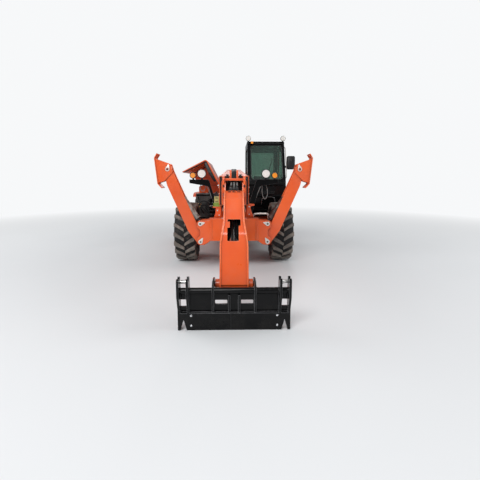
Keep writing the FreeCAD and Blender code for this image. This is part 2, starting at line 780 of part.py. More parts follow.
def ring(name, corners, steps):
    """A profile carried round the X axis in flat steps."""
    profile = [(number(out), number(radius)) for out, radius in corners]
    angles = [2 * math.pi * i / steps for i in range(steps + 1)]
    angles[-1] = 0
    faces = []
    for i, (out, radius) in enumerate(profile):
        next_out, next_radius = profile[(i + 1) % len(profile)]
        for here, there in zip(angles, angles[1:]):
            corner_points = [
                vector(out, radius * math.sin(here), radius * math.cos(here)),
                vector(next_out, next_radius * math.sin(here), next_radius * math.cos(here)),
                vector(next_out, next_radius * math.sin(there), next_radius * math.cos(there)),
                vector(out, radius * math.sin(there), radius * math.cos(there)),
            ]
            faces.append(Part.Face(Part.makePolygon(corner_points + corner_points[:1])))
    solid = doc.addObject("Part::Feature", name)
    solid.Shape = Part.makeSolid(Part.makeShell(faces))
    return solid


def tyre():
    """A plain carcass with two rows of lugs half a pitch apart."""
    inner_side = [(f"-({out})", radius) for out, radius in CARCASS[::-1]]
    body = ring("tyre_carcass", list(CARCASS) + inner_side, int(number("carcass_sides")))
    # Lugs stand on the wheel's top, with their flat tops a little inside the tyre's radius
    top = "(tyre_radius - 5.5)"
    lugs = []
    for side, sign, shift in (("outer", "", "0"), ("inner", "-", "180 / lug_count")):
        far = f"{sign}(lug_reach - 24)"
        bar_shape = slab(
            f"lug_{side}", "front", "-lug_width / 2", "lug_width / 2",
            [(f"{sign}4", "carcass_radius - 22"), (f"{sign}4", top), (far, top),
             (f"{sign}lug_reach", "carcass_radius - 22")],
        )
        slanted = place(group(f"lug_slanted_{side}", bar_shape), "z", f"{sign}lug_angle", y="-40")
        for i in range(int(number("lug_count"))):
            turned_lug = group(f"lug_{side}_{i}", slanted)
            lugs.append(place(turned_lug, "x", f"{i} * 360 / lug_count + {shift}"))
    return place(fused("tyre_shape", body, *lugs), x="track_half")


def running_gear():
    for end, centre in (("front", FRONT_AXLE), ("rear", REAR_AXLE)):
        axle(f"{end}_axle", centre)
        for kind, maker in (("knuckle", knuckle), ("rim", rim), ("tyre", tyre)):
            source = maker()
            place(source, y=centre, z="tyre_radius")
            node(f"{kind}_{end}_left", source)
            node(f"{kind}_{end}_right", mirrored(f"{kind}_{end}_right_copy", source))


def tube_section(name, half_width, half_height, wall, start, end):
    """A rectangular boom section lying along Y in the boom's own frame."""
    outside = [(f"-({half_width})", f"-({half_height})", "20"), (half_width, f"-({half_height})", "20"),
               (half_width, half_height, "20"), (f"-({half_width})", half_height, "20")]
    inside = [(f"-({half_width} - {wall})", f"-({half_height} - {wall})", "10"),
              (f"{half_width} - {wall}", f"-({half_height} - {wall})", "10"),
              (f"{half_width} - {wall}", f"{half_height} - {wall}", "10"),
              (f"-({half_width} - {wall})", f"{half_height} - {wall}", "10")]
    return slab(name, "front", start, end, outside, inside)


MIDDLE_HALF_WIDTH = "(outer_half_width - outer_wall - section_play)"
MIDDLE_HALF_HEIGHT = "(outer_half_height - outer_wall - section_play)"
INNER_HALF_WIDTH = f"({MIDDLE_HALF_WIDTH} - middle_wall - section_play)"
INNER_HALF_HEIGHT = f"({MIDDLE_HALF_HEIGHT} - middle_wall - section_play)"


def on_boom(solid):
    """From the boom's own frame, with its pivot at zero, to its place on the machine."""
    return place(solid, "x", "boom_slope", y="pivot_back", z="pivot_height")


def wear_pads(name, half_width, half_height, wall, front_end):
    """Four pads inside a section's mouth, on which the next section slides."""
    inside_x, inside_z = f"({half_width} - {wall})", f"({half_height} - {wall})"
    thick = "(section_play - seat_gap)"
    start, end = front_end, f"{front_end} + wear_pad_length"
    pads = []
    for side, sign in (("left", ""), ("right", "-")):
        low, high = (f"{inside_x} - {thick}", f"{inside_x} + 1")
        low, high = (low, high) if not sign else (f"-({high})", f"-({low})")
        pads.append(block(f"{name}_pad_{side}", (low, start, "-70"), (high, end, "70")))
    for rank, sign in (("upper", ""), ("lower", "-")):
        low, high = (f"{inside_z} - {thick}", f"{inside_z} + 1")
        low, high = (low, high) if not sign else (f"-({high})", f"-({low})")
        pads.append(block(f"{name}_pad_{rank}", ("-80", start, low), ("80", end, high)))
    return pads


def outer_boom():
    body = tube_section("outer_tube", "outer_half_width", "outer_half_height", "outer_wall",
                        "-boom_reach", "boom_tail")
    pads = wear_pads("outer", "outer_half_width", "outer_half_height", "outer_wall", "-boom_reach")
    boss = bar("pivot_boss", "x", "pivot_boss_radius", "-outer_half_width", "outer_half_width", y="0",
               z="0")
    bore = bar("pivot_bore", "x", "pivot_pin_radius + pin_play", "-outer_half_width - 5",
               "outer_half_width + 5",
               y="0", z="0")
    drop = "lift_lug_drop"
    lug = [
        ("-lift_lug_reach - 70", f"-{drop} - 60", "55"),
        ("-lift_lug_reach + 70", f"-{drop} - 60", "55"),
        ("-lift_lug_reach + 170", "-outer_half_height + 5"),
        ("-lift_lug_reach - 170", "-outer_half_height + 5"),
    ]
    near = "(lift_eye_half + side_play)"
    left = slab("lift_lug_left", "side", near, f"{near} + lug_wall", lug)
    right = slab("lift_lug_right", "side", f"-{near} - lug_wall", f"-{near}", lug)
    shape = cut("outer_boom_body", fused("outer_boom_raw", body, boss, left, right, *pads), bore)
    return node("outer_boom", on_boom(shape))


def middle_boom():
    body = tube_section("middle_tube", MIDDLE_HALF_WIDTH, MIDDLE_HALF_HEIGHT, "middle_wall",
                        "-boom_reach - section_step", "-pivot_boss_radius - 60")
    pads = wear_pads("middle", MIDDLE_HALF_WIDTH, MIDDLE_HALF_HEIGHT, "middle_wall",
                     "-boom_reach - section_step")
    return node("middle_boom", on_boom(fused("middle_boom_body", body, *pads)))


def inner_boom():
    body = tube_section("inner_tube", INNER_HALF_WIDTH, INNER_HALF_HEIGHT, "inner_wall",
                        "-boom_reach - inner_head", "-pivot_boss_radius - 100")
    return node("inner_boom", on_boom(body))


# Where the neck starts inside the boom, and how far ahead its edges turn
NECK_ROOT = "((boom_reach + inner_head) * cos(boom_slope) - pivot_back - neck_root_lap)"
NECK_BROW = f"({NECK_ROOT} + neck_brow_run)"
NECK_BEND = f"({NECK_BROW} + neck_bend_run)"
NECK_KNEE = "(tilt_back - neck_knee_set)"


def neck_front_line(offset):
    """The neck's front edge in side view, from brow to toe, set back by an offset."""
    return [
        (f"-{NECK_BROW} + {offset}", f"neck_brow_height - 0.6 * ({offset})"),
        (f"-{NECK_BEND} + {offset}", f"neck_bend_height - 0.3 * ({offset})", "60"),
        (f"-{NECK_KNEE} + {offset}", "neck_knee_height", "100"),
        (f"-tilt_back - 80 + {offset}", "tilt_height + 6"),
    ]


def neck_flare(half_change):
    """The neck's edge in front view: narrow above, wider below the flare."""
    return [
        (f"neck_half_top + {half_change}", "neck_brow_height + 100"),
        (f"neck_half_top + {half_change}", "neck_flare_high", "150"),
        (f"neck_half_low + {half_change}", "neck_flare_low", "150"),
        (f"neck_half_low + {half_change}", "tilt_height - 2 * neck_foot_radius"),
    ]


def neck_head():
    """The rails, web and hose guides on top of the neck."""
    rail_view = [
        (f"-{NECK_BROW} + 4", "neck_brow_height - 40"), (f"-{NECK_BROW} + 90", "neck_brow_height - 90"),
        (f"-{NECK_ROOT} - 88", "neck_brow_height - 60"), (f"-{NECK_ROOT} - 88", "head_rail_high", "30"),
        (f"-{NECK_BROW} + 24", "head_rail_high", "45"),
    ]
    guide_view = [
        (f"-{NECK_BROW} + 60", "head_web_low"), (f"-{NECK_BROW} + 175", "head_web_low"),
        (f"-{NECK_BROW} + 175", "head_guide_high", "40"), (f"-{NECK_BROW} + 75", "head_guide_high", "40"),
    ]
    pieces = [block("head_web", ("-neck_half_top - 1", f"-{NECK_BROW} + 50", "head_web_low"),
                    ("neck_half_top + 1", f"-{NECK_BROW} + 170", "head_web_high"))]
    rail, rail_out = "(neck_half_top - 1)", "(neck_half_top - 1 + head_rail_wall)"
    guide, guide_out = "(head_guide_half - head_guide_wall / 2)", "(head_guide_half + head_guide_wall / 2)"
    pieces += [
        slab("head_rail_left", "side", rail, rail_out, rail_view),
        slab("head_rail_right", "side", f"-{rail_out}", f"-{rail}", rail_view),
        slab("head_guide_left", "side", guide, guide_out, guide_view),
        slab("head_guide_right", "side", f"-{guide_out}", f"-{guide}", guide_view),
    ]
    return pieces


def neck():
    """The bent head: two cheeks and a sunk face plate down to the carriage's pivot, open at the back."""
    foot_y, foot_z = "-tilt_back", "tilt_height"
    side_view = neck_front_line("0") + [
        (f"{foot_y} - neck_foot_radius", f"{foot_z} - neck_foot_radius", "neck_foot_radius - 6"),
        (f"{foot_y} + neck_foot_radius", f"{foot_z} - neck_foot_radius", "neck_foot_radius - 6"),
        (f"{foot_y} + 140", f"{foot_z} + 250", "150"),
        ("-tilt_top_back + 75", "tilt_top_height + 10", "150"),
        (f"-{NECK_ROOT}", "tilt_top_height + 78"),
        (f"-{NECK_ROOT}", "neck_brow_height + 105"),
        (f"-{NECK_BROW} + 40", "neck_brow_height + 105", "40"),
    ]
    ahead, behind = "-tilt_back - 180", f"-{NECK_ROOT} + 100"
    profile = slab("neck_profile", "side", "-neck_half_low - 10", "neck_half_low + 10", side_view)
    band = neck_flare("0") + neck_flare("(-neck_wall)")[::-1]
    left_band = slab("neck_band", "front", ahead, behind, band)
    cheek = common("neck_cheek_left", profile, left_band)
    other_cheek = mirrored("neck_cheek_right", cheek)
    strip = slab("neck_strip", "side", "-neck_half_low", "neck_half_low",
                 neck_front_line("neck_flange") + neck_front_line("(neck_flange + neck_wall)")[::-1])
    half = neck_flare("(-neck_wall / 2)")
    width = slab("neck_width", "front", ahead, behind,
                 half + [mirror_corner(corner) for corner in half[::-1]])
    notch, step = "neck_window_high - 25", "neck_window_high - 68"
    window = slab(
        "neck_window", "front", ahead, behind,
        [("-neck_window_half", "neck_window_high", "10"), ("neck_window_half", "neck_window_high", "10"),
         ("neck_window_half", step), ("neck_window_half - 23", step),
         ("neck_window_half - 23", "neck_window_low", "10"), ("-neck_window_half", "neck_window_low", "10"),
         ("-neck_window_half", f"{step} - 20"), ("-neck_window_half + 27", f"{step} - 20"),
         ("-neck_window_half + 27", notch), ("-neck_window_half", notch)],
    )
    face = cut("neck_face", common("neck_face_full", strip, width), window)
    reach = "(neck_half_low + neck_boss_length)"
    tube = bar("neck_foot_tube", "x", "neck_boss_radius", f"-{reach}", reach, y=foot_y, z=foot_z)
    bore = bar("neck_foot_bore", "x", "tilt_pin_radius + pin_play", f"-{reach} - 5", f"{reach} + 5",
               y=foot_y, z=foot_z)
    inside = "(neck_half_top - neck_wall)"
    top_pin = bar("tilt_top_pin", "x", "tilt_pin_radius", f"-{inside} - 1", f"{inside} + 1",
                  y="-tilt_top_back", z="tilt_top_height")
    root = on_boom(tube_section("neck_root", f"({INNER_HALF_WIDTH} - inner_wall)",
                                f"({INNER_HALF_HEIGHT} - inner_wall)", "12",
                                "-boom_reach - inner_head - 12", "-boom_reach - inner_head + 160"))
    closing = on_boom(slab(
        "neck_closing", "front", "-boom_reach - inner_head - 26", "-boom_reach - inner_head - 11",
        [(f"-({INNER_HALF_WIDTH} - inner_wall)", f"-({INNER_HALF_HEIGHT} - inner_wall)", "20"),
         (f"{INNER_HALF_WIDTH} - inner_wall", f"-({INNER_HALF_HEIGHT} - inner_wall)", "20"),
         (f"{INNER_HALF_WIDTH} - inner_wall", f"{INNER_HALF_HEIGHT} - inner_wall", "20"),
         (f"-({INNER_HALF_WIDTH} - inner_wall)", f"{INNER_HALF_HEIGHT} - inner_wall", "20")],
        [("-90", "-60", "25"), ("90", "-60", "25"), ("90", "120", "25"), ("-90", "120", "25")],
    ))
    plates = fused("neck_plates", cheek, other_cheek, face, tube, root, closing, *neck_head())
    shape = fused("neck_body", cut("neck_raw", plates, bore), top_pin)
    return node("boom_neck", shape)


TILT_LUG_Y = "(-tilt_back + tilt_lug_back)"
TILT_LUG_Z = "(tilt_height - tilt_lug_drop)"
TILT_DY = f"({TILT_LUG_Y} + tilt_top_back)"
TILT_DZ = f"({TILT_LUG_Z} - tilt_top_height)"
TILT_LENGTH = f"sqrt({TILT_DY} * {TILT_DY} + {TILT_DZ} * {TILT_DZ})"
LIFT_LUG_Y = "(pivot_back - lift_lug_reach * cos(boom_slope) + lift_lug_drop * sin(boom_slope))"
LIFT_LUG_Z = "(pivot_height - lift_lug_reach * sin(boom_slope) - lift_lug_drop * cos(boom_slope))"
LIFT_DY = f"({LIFT_LUG_Y} - lift_foot_back)"
LIFT_DZ = f"({LIFT_LUG_Z} - lift_foot_height)"
LIFT_LENGTH = f"sqrt({LIFT_DY} * {LIFT_DY} + {LIFT_DZ} * {LIFT_DZ})"


def aimed(name, solid, y_run, z_run, y, z):
    """A cylinder piece built along +Z with its eye's axis along Y: laid into the YZ plane and aimed."""
    turned_eye = group(name, solid)
    solid.Placement = FreeCAD.Placement(vector(0, 0, 0), FreeCAD.Rotation(vector(0, 0, 1), 90))
    # A turn about X by this angle carries +Z to the given run in the YZ plane
    return place(turned_eye, "x", f"atan2(-({y_run}); {z_run})", y=y, z=z)


def boom_cylinders():
    barrel = cylinder_barrel("lift_barrel", "lift_eye_radius", "lift_eye_half",
                             "lift_pin_radius + pin_play",
                             "lift_barrel_radius", "lift_rod_radius", "1250")
    rod = cylinder_rod("lift_rod", "lift_eye_radius", "lift_eye_half", "lift_rod_radius", "160",
                       LIFT_LENGTH)
    node("lift_cylinder_barrel", aimed("lift_barrel_aimed", barrel, LIFT_DY, LIFT_DZ,
                                       "lift_foot_back", "lift_foot_height"))
    node("lift_cylinder_rod", aimed("lift_rod_aimed", rod, LIFT_DY, LIFT_DZ, "lift_foot_back",
                                    "lift_foot_height"))
    barrel = cylinder_barrel("tilt_barrel", "tilt_eye_radius", "tilt_eye_half",
                             "tilt_pin_radius + pin_play",
                             "tilt_barrel_radius", "tilt_rod_radius", "620")
    rod = cylinder_rod("tilt_rod", "tilt_eye_radius", "tilt_eye_half", "tilt_rod_radius", "380",
                       TILT_LENGTH)
    node("tilt_cylinder_barrel", aimed("tilt_barrel_aimed", barrel, TILT_DY, TILT_DZ,
                                       "-tilt_top_back", "tilt_top_height"))
    node("tilt_cylinder_rod", aimed("tilt_rod_aimed", rod, TILT_DY, TILT_DZ, "-tilt_top_back",
                                    "tilt_top_height"))


CARRIAGE_FRONT = "(-front_axle_ahead - carriage_reach)"


def carriage():
    """The tool carrier: four hooked end plates on a tube and a face plate, with the pivot's clevises."""
    front = CARRIAGE_FRONT
    back = f"({front} + carriage_depth)"
    near_outer = "(neck_half_low + neck_boss_length + side_play)"
    end_plate = [
        (f"{front} + carriage_lean", "0"), (back, "0"), (back, "tube_height + 40", "40"),
        (f"{back} - 20", "carriage_height", "20"), (f"{front} + 95", "carriage_height", "8"),
        (f"{front} + 60", "carriage_height - 70", "14"), (f"{front} + 25", "carriage_height", "8"),
        (front, "carriage_height - 20", "12"), (front, "tube_height - 40", "60"),
        (f"{front} + carriage_lean", "face_plate_height + 40", "60"),
    ]
    pieces, holes = [], []
    for side, sign in (("left", 1), ("right", -1)):
        for rank, offset in (("outer", "0"), ("inner", "(end_plate_wall + end_plate_gap)")):
            far = f"(carriage_half - {offset})"
            near = f"({far} - end_plate_wall)"
            low, high = (near, far) if sign > 0 else (f"-{far}", f"-{near}")
            pieces.append(slab(f"end_plate_{rank}_{side}", "side", low, high, end_plate))
    reach = "(carriage_half - end_plate_wall / 2)"
    pieces.append(bar("carriage_tube", "x", "tube_radius", f"-{reach}", reach, y=f"{front} + 90",
                      z="tube_height"))
    face = f"({front} + carriage_lean)"
    end_gap = "(carriage_half - end_plate_wall - end_plate_gap)"
    notches = []
    for sign in ("", "-"):
        notches.append([(f"{sign}({end_gap} + 4)", "0"),
                        (f"{sign}({end_gap} + end_plate_gap / 2)", "foot_notch_high"),
                        (f"{sign}({end_gap} + end_plate_gap - 4)", "0")])
    pieces.append(slab("face_plate", "front", face, f"{face} + face_plate_wall",
                       [(f"-{reach}", "0"), *notches[1][::-1], *notches[0], (reach, "0"),
                        (reach, "face_plate_height"), (f"-{reach}", "face_plate_height")]))
    pieces.append(block("shelf_plate", (f"-{reach}", face, "face_plate_height - 16"),
                        (reach, f"{back} - 10", "face_plate_height")))
    slots = []
    for sign in ("", "-"):
        near_edge, far_edge = f"{sign}(tilt_eye_half + clevis_wall + 15)", f"{sign}({near_outer} - 12)"
        slots.append([(near_edge, "slot_low", "10"), (far_edge, "slot_low", "10"),
                      (far_edge, "slot_high", "10"), (near_edge, "slot_high", "10")])
        near_edge, far_edge = f"{sign}({end_gap} + 1)", f"{sign}({end_gap} + end_plate_gap - 1)"
        slots.append([(near_edge, "end_slot_low"), (far_edge, "end_slot_low"),
                      (far_edge, "end_slot_high"), (near_edge, "end_slot_high")])
    pieces.append(slab("back_plate", "front", f"{back} - 30", f"{back} - 14",
                       [(f"-{reach}", "face_plate_height - 1"), (reach, "face_plate_height - 1"),
                        (reach, "tube_height - 20"), (f"-{reach}", "tube_height - 20")], *slots))
    pivot_y, pivot_z = "-tilt_back", "tilt_height"
    outer = [
        (f"{face} + 8", "face_plate_height - 5"), (f"{back}", "face_plate_height - 20"),
        (f"{pivot_y} + 60", f"{pivot_z} - 70", "50"), (f"{pivot_y} + 60", f"{pivot_z} + 65", "50"),
        (f"{pivot_y} - 70", f"{pivot_z} + 80", "50"), (f"{front} + 52", "tube_height + 60", "20"),
    ]
    inner = [
        (f"{face} + 8", "face_plate_height - 5"), (f"{back}", "face_plate_height - 20"),
        (f"{TILT_LUG_Y} + 45", f"{TILT_LUG_Z} - 50", "45"),
        (f"{TILT_LUG_Y} + 45", f"{TILT_LUG_Z} + 48", "45"),
        (f"{pivot_y} - 60", f"{pivot_z} - 115", "60"), (f"{front} + 52", "tube_height - 40"),
    ]
    slot = "(tilt_eye_half + 3)"
    for side, sign in (("left", 1), ("right", -1)):
        low, high = near_outer, f"{near_outer} + clevis_wall"
        low, high = (low, high) if sign > 0 else (f"-({high})", f"-{low}")
        pieces.append(slab(f"clevis_outer_{side}", "side", low, high, outer))
        low, high = slot, f"{slot} + clevis_wall"
        low, high = (low, high) if sign > 0 else (f"-({high})", f"-{low}")
        pieces.append(slab(f"clevis_inner_{side}", "side", low, high, inner))
        start, end = "neck_half_low - 20", f"{near_outer} + clevis_wall + 12"
        low, high = (start, end) if sign > 0 else (f"-({end})", f"-({start})")
        pieces.append(bar(f"tilt_pin_{side}", "x", "tilt_pin_radius", low, high, y=pivot_y, z=pivot_z))
        pin_low, pin_high = ("carriage_half - 2 * end_plate_wall - end_plate_gap", "carriage_half")
        low, high = (pin_low, pin_high) if sign > 0 else (f"-({pin_high})", f"-({pin_low})")
        pieces.append(bar(f"hook_pin_{side}", "x", "hook_pin_radius", low, high, y=f"{front} + 78",
                          z="carriage_height - 52"))
        holes.append(bar(f"lock_bore_{side}", "x", "lock_bore_radius", low, high,
                         y=f"{front} + lock_set_back",
                         z="lock_height"))
    return node("carriage", cut("carriage_body", fused("carriage_plates", *pieces), *holes))


DOOR_HINGES = (("low", "1150"), ("high", "2050"))


def hinge_half(name, kind, height):
    """Half of a door hinge: the post's lug with its pin, or the door's eye above it."""
    post = "cab_rear_back - door_post_ahead"
    pin_y = f"{post} + 12"
    pin_x = "cab_outer + door_pin_out"
    if kind == "fixed":
        lug = block(f"{name}_lug", ("cab_outer - 5", f"{pin_y} - 12", height),
                    (f"{pin_x} + 12", f"{pin_y} + 40", f"{height} + 30"))
        pin = bar(f"{name}_pin", "z", "hinge_pin_radius", height, f"{height} + 75", x=pin_x, y=pin_y)
        return fused(name, lug, pin)
    eye = bar(f"{name}_eye", "z", "hinge_eye_radius - 4", f"{height} + 30 + seat_gap", f"{height} + 70",
              x=pin_x, y=pin_y)
    arm = block(f"{name}_arm", ("cab_outer + 1", f"{pin_y} - 90", f"{height} + 30 + seat_gap"),
                (pin_x, pin_y, f"{height} + 70"))
    foot = block(f"{name}_foot", ("cab_outer - 0.1", f"{pin_y} - 90", f"{height} + 30 + seat_gap"),
                 (pin_x, f"{post} - side_play", f"{height} + 70"))
    hole = bar(f"{name}_hole", "z", "hinge_pin_radius + pin_play / 2", height, f"{height} + 80", x=pin_x,
               y=pin_y)
    return cut(name, fused(f"{name}_raw", eye, arm, foot), hole)


# The cab's lines: its openings' edges hang from the roof or stand on the sill
CAB_TOP = "(cab_roof - roof_thick - seat_gap)"
WINDOW_TOP = "(cab_roof - window_under_roof)"
SCREEN_TOP = "(cab_roof - windshield_under_roof)"
CAB_WAIST = "(cab_low + 480)"
CAB_BROW = "(cab_low + 830)"
DOOR_POST = "(cab_rear_back - door_post_ahead)"
WINDOW_REAR = "(cab_rear_back - 120)"
QUARTER_FRONT = "(cab_rear_back - 330)"
ROOF_EDGE = "(cab_front_back + 290)"
ROOF_LAMPS = (("inner", "cab_inner + 25"), ("outer", "cab_outer - 30"))
BEACON_PLACE = "cab_inner + 105"


def opening(front_low, front_high, rear, low, high, rounding):
    """A window's outline in side view, its front edge free to lean."""
    return [(front_low, low, rounding), (rear, low, rounding), (rear, high, rounding),
            (front_high, high, rounding)]


def boom_side_window(trim):
    return opening(f"cab_front_back + 170 + {trim}", f"cab_front_back + 400 + {trim}",
                   f"{WINDOW_REAR} - {trim}",
                   f"window_sill + {trim}", f"{WINDOW_TOP} - {trim}", "60")


def quarter_window(trim):
    return opening(f"{QUARTER_FRONT} + {trim}", f"{QUARTER_FRONT} + {trim}", f"{WINDOW_REAR} - {trim}",
                   f"window_sill + {trim}", f"{WINDOW_TOP} - {trim}", "30")


def rear_window(trim):
    return opening(f"cab_inner + 80 + {trim}", f"cab_inner + 80 + {trim}", f"cab_outer - 80 - {trim}",
                   f"window_sill + {trim}", f"{WINDOW_TOP} - {trim}", "40")


def screen(name, trim):
    """The windshield's rounded outline, carried through the front wall."""
    shape = opening(f"cab_inner + 75 + {trim}", f"cab_inner + 75 + {trim}", f"cab_outer - 60 - {trim}",
                    f"windshield_low + {trim}", f"{SCREEN_TOP} - {trim}", "75")
    return slab(name, "front", "cab_front_back - 200", "cab_front_back + 700", shape)


def cab():
    """The cab: floor, front wall, boom-side wall, door-side wall, rear wall, roof and panes."""
    front, rear = "cab_front_back", "cab_rear_back"
    brow = [
        (f"{front} + 330", "cab_low"), (f"{front} + 60", "cab_low + 180", "150"),
        (f"{front} - 40", CAB_WAIST, "200"), (f"{front} + 20", CAB_BROW, "200"),
        (f"{front} + 330", CAB_TOP),
    ]
    inset = [
        (f"{front} + 330 + cab_wall * 1.1", CAB_TOP), (f"{front} + 20 + cab_wall * 1.05", CAB_BROW, "200"),
        (f"{front} - 40 + cab_wall", CAB_WAIST, "170"),
        (f"{front} + 60 + cab_wall * 0.9", "cab_low + 200", "120"),
        (f"{front} + 330 + cab_wall * 0.5", "cab_low + cab_wall * 0.9"),
    ]
    wall = slab("front_wall_full", "side", "cab_inner", "cab_outer", brow + inset)
    cowl = slab("front_cowl", "side", "cab_inner + 30", "cab_outer - 30",
                [(f"{front} + 5", f"{CAB_BROW} - 30"), (f"{front} + 5", f"{CAB_BROW} - 130"),
                 (f"{front} - 60", f"{CAB_BROW} - 110", "20"), (f"{front} - 50", f"{CAB_BROW} - 60", "20")])
    node("cab_front_wall", fused("front_wall_body",
                                 cut("front_wall_cut", wall, screen("windshield_cut", "0")), cowl))
    floor = block("cab_floor_body", ("cab_inner", f"{front} + 380", "cab_low"),
                  ("cab_outer", rear, "cab_low + cab_wall"))
    node("cab_floor", floor)
    low = "(cab_low + cab_wall + seat_gap)"
    back = f"({rear} - cab_wall - seat_gap)"
    rear_wall = slab(
        "rear_wall_body", "front", f"{rear} - cab_wall", rear,
        [("cab_inner", low), ("cab_outer", low), ("cab_outer", CAB_TOP), ("cab_inner", CAB_TOP)],
        rear_window("0"),
    )
    node("cab_rear_wall", rear_wall)
    side = [
        (f"{front} + 395", low), (f"{front} + 160", "cab_low + 210", "120"),
        (f"{front} + 30", CAB_WAIST, "150"),
        (f"{front} + 80", CAB_BROW, "150"), (f"{front} + 385", CAB_TOP), (back, CAB_TOP), (back, low),
    ]
    node("cab_boom_side_wall", slab("boom_side_body", "side", "cab_inner", "cab_inner + cab_wall", side,
                                    boom_side_window("0")))
    door_wall = slab("door_side_body", "side", "cab_outer - cab_wall", "cab_outer", side, doorway("0"),
                     quarter_window("0"))
    hinges = [hinge_half(f"door_post_hinge_{rank}", "fixed", height) for rank, height in DOOR_HINGES]
    node("cab_door_side_wall", fused("door_side_wall", door_wall, *hinges))
    slope = f"310 / ({CAB_TOP} - {CAB_BROW})"

    def brow_at(height):
        return f"{front} + 20 + ({height} - {CAB_BROW}) * {slope}"

    low_edge, high_edge = f"{brow_at('windshield_low')} + 14", f"{brow_at(SCREEN_TOP)} + 14"
    windshield_sheet = slab(
        "windshield_sheet", "side", "cab_inner + 60", "cab_outer - 50",
        [(low_edge, "windshield_low"), (f"{low_edge} + glass_wall", "windshield_low"),
         (f"{high_edge} + glass_wall", SCREEN_TOP), (high_edge, SCREEN_TOP)],
    )
    windshield_pane = common("windshield_pane", windshield_sheet, screen("windshield_edge", "seat_gap"))
    side_pane = slab("boom_side_pane", "side", "cab_inner + 17", "cab_inner + 17 + glass_wall",
                     boom_side_window("seat_gap"))
    quarter_pane = slab("quarter_pane", "side", "cab_outer - 23", "cab_outer - 23 + glass_wall",
                        quarter_window("seat_gap"))
    rear_pane = slab("rear_pane", "front", f"{rear} - 23", f"{rear} - 23 + glass_wall",
                     rear_window("seat_gap"))
    node("cab_glass", group("cab_panes", windshield_pane, side_pane, quarter_pane, rear_pane))
    cab_roof()


def cab_roof():
    """The roof with its ribs, the shells of its two work lamps and the beacon's bracket."""
    front, rear = "cab_front_back", "cab_rear_back"
    pieces = [slab(
        "roof_body", "side", "cab_inner", "cab_outer",
        [(f"{front} + 300", "cab_roof - roof_thick"), (f"{front} + 350", "cab_roof", "20"),
         (rear, "cab_roof", "20"),
         (f"{rear} + 20", "cab_roof - roof_thick")],
    )]
    for i in range(5):
        centre = f"(cab_inner + cab_outer) / 2 + {i - 2} * (cab_outer - cab_inner) / 6"
        pieces.append(slab(f"roof_rib_{i}", "side", f"{centre} - 25", f"{centre} + 25",
                           [(f"{front} + 420", "cab_roof - 1"), (f"{front} + 450", "cab_roof + 14", "8"),
                            (f"{rear} - 110", "cab_roof + 14", "8"), (f"{rear} - 80", "cab_roof - 1")]))
    for side, place_x in ROOF_LAMPS:
        shell = turned(f"work_shell_{side}", "side", "y",
                       [("0", "0"), ("0", "work_lamp_radius"), ("30", "work_lamp_radius"),
                        ("62", "work_lamp_radius - 22", "15"), ("62", "0")])
        pieces.append(place(shell, x=place_x, y=ROOF_EDGE, z="cab_roof + work_lamp_over"))
        pieces.append(slab(f"work_stalk_{side}", "side", f"{place_x} - 14", f"{place_x} + 14",
                           [(f"{ROOF_EDGE} + 18", "cab_roof + work_lamp_over - 10"),
                            (f"{ROOF_EDGE} + 78", "cab_roof - 8"), (f"{ROOF_EDGE} + 108", "cab_roof - 8"),
                            (f"{ROOF_EDGE} + 48", "cab_roof + work_lamp_over - 10")]))
    pieces.append(block("beacon_bracket", (f"{BEACON_PLACE} - 16", f"{ROOF_EDGE} - 20", "cab_roof - 48"),
                        (f"{BEACON_PLACE} + 16", f"{ROOF_EDGE} + 60", "cab_roof - 32")))
    node("cab_roof", fused("cab_roof_body", *pieces))


def doorway(trim):
    """The door's outline in side view, drawn in by a trim all round."""
    front = "cab_front_back"
    return [
        (f"{front} + 440 + {trim}", f"cab_low + 110 + {trim}", "60"),
        (f"{front} + 200 + {trim}", f"cab_low + 250 + {trim}", "100"),
        (f"{front} + 100 + {trim}", CAB_WAIST, "130"), (f"{front} + 150 + {trim}", CAB_BROW, "130"),
        (f"{front} + 420 + {trim}", f"cab_roof - 120 - {trim}", "50"),
        (f"{DOOR_POST} - {trim}", f"cab_roof - 120 - {trim}", "50"),
        (f"{DOOR_POST} - {trim}", f"cab_low + 110 + {trim}", "60"),
    ]


def door():
    """The cab's door: a ring frame that fills its doorway, with a waist bar, two panes and a handle."""
    front = "cab_front_back"
    back, high = f"({DOOR_POST} - 60)", "cab_roof - 185"
    upper = [(f"{front} + 230", "window_sill + 40", "40"), (back, "window_sill + 120", "40"),
             (back, high, "40"), (f"{front} + 460", high, "40")]
    lower = [(f"{front} + 500", "cab_low + 190", "40"), (back, "cab_low + 190", "40"),
             (back, "window_sill + 20", "40"), (f"{front} + 230", "window_sill - 60", "40"),
             (f"{front} + 220", "cab_low + 420", "40")]
    frame = slab("door_frame_ring", "side", "cab_outer - cab_wall", "cab_outer", doorway("side_play"),
                 upper, lower)
    handle = slab("door_handle", "side", "cab_outer - 1", "cab_outer + 22",
                  [(f"{front} + 270", "window_sill - 8", "8"), (f"{front} + 400", "window_sill + 8", "8"),
                   (f"{front} + 400", "window_sill + 34", "8"),
                   (f"{front} + 270", "window_sill + 18", "8")])
    hinges = [hinge_half(f"door_hinge_{rank}", "moving", height) for rank, height in DOOR_HINGES]
    node("cab_door_frame", fused("door_frame_body", frame, handle, *hinges))
    panes = [slab(f"door_pane_{rank}", "side", "cab_outer - 23", "cab_outer - 23 + glass_wall",
                  outline_corners)
             for rank, outline_corners in (("upper", upper), ("lower", lower))]
    node("cab_door_glass", group("door_panes", *panes))


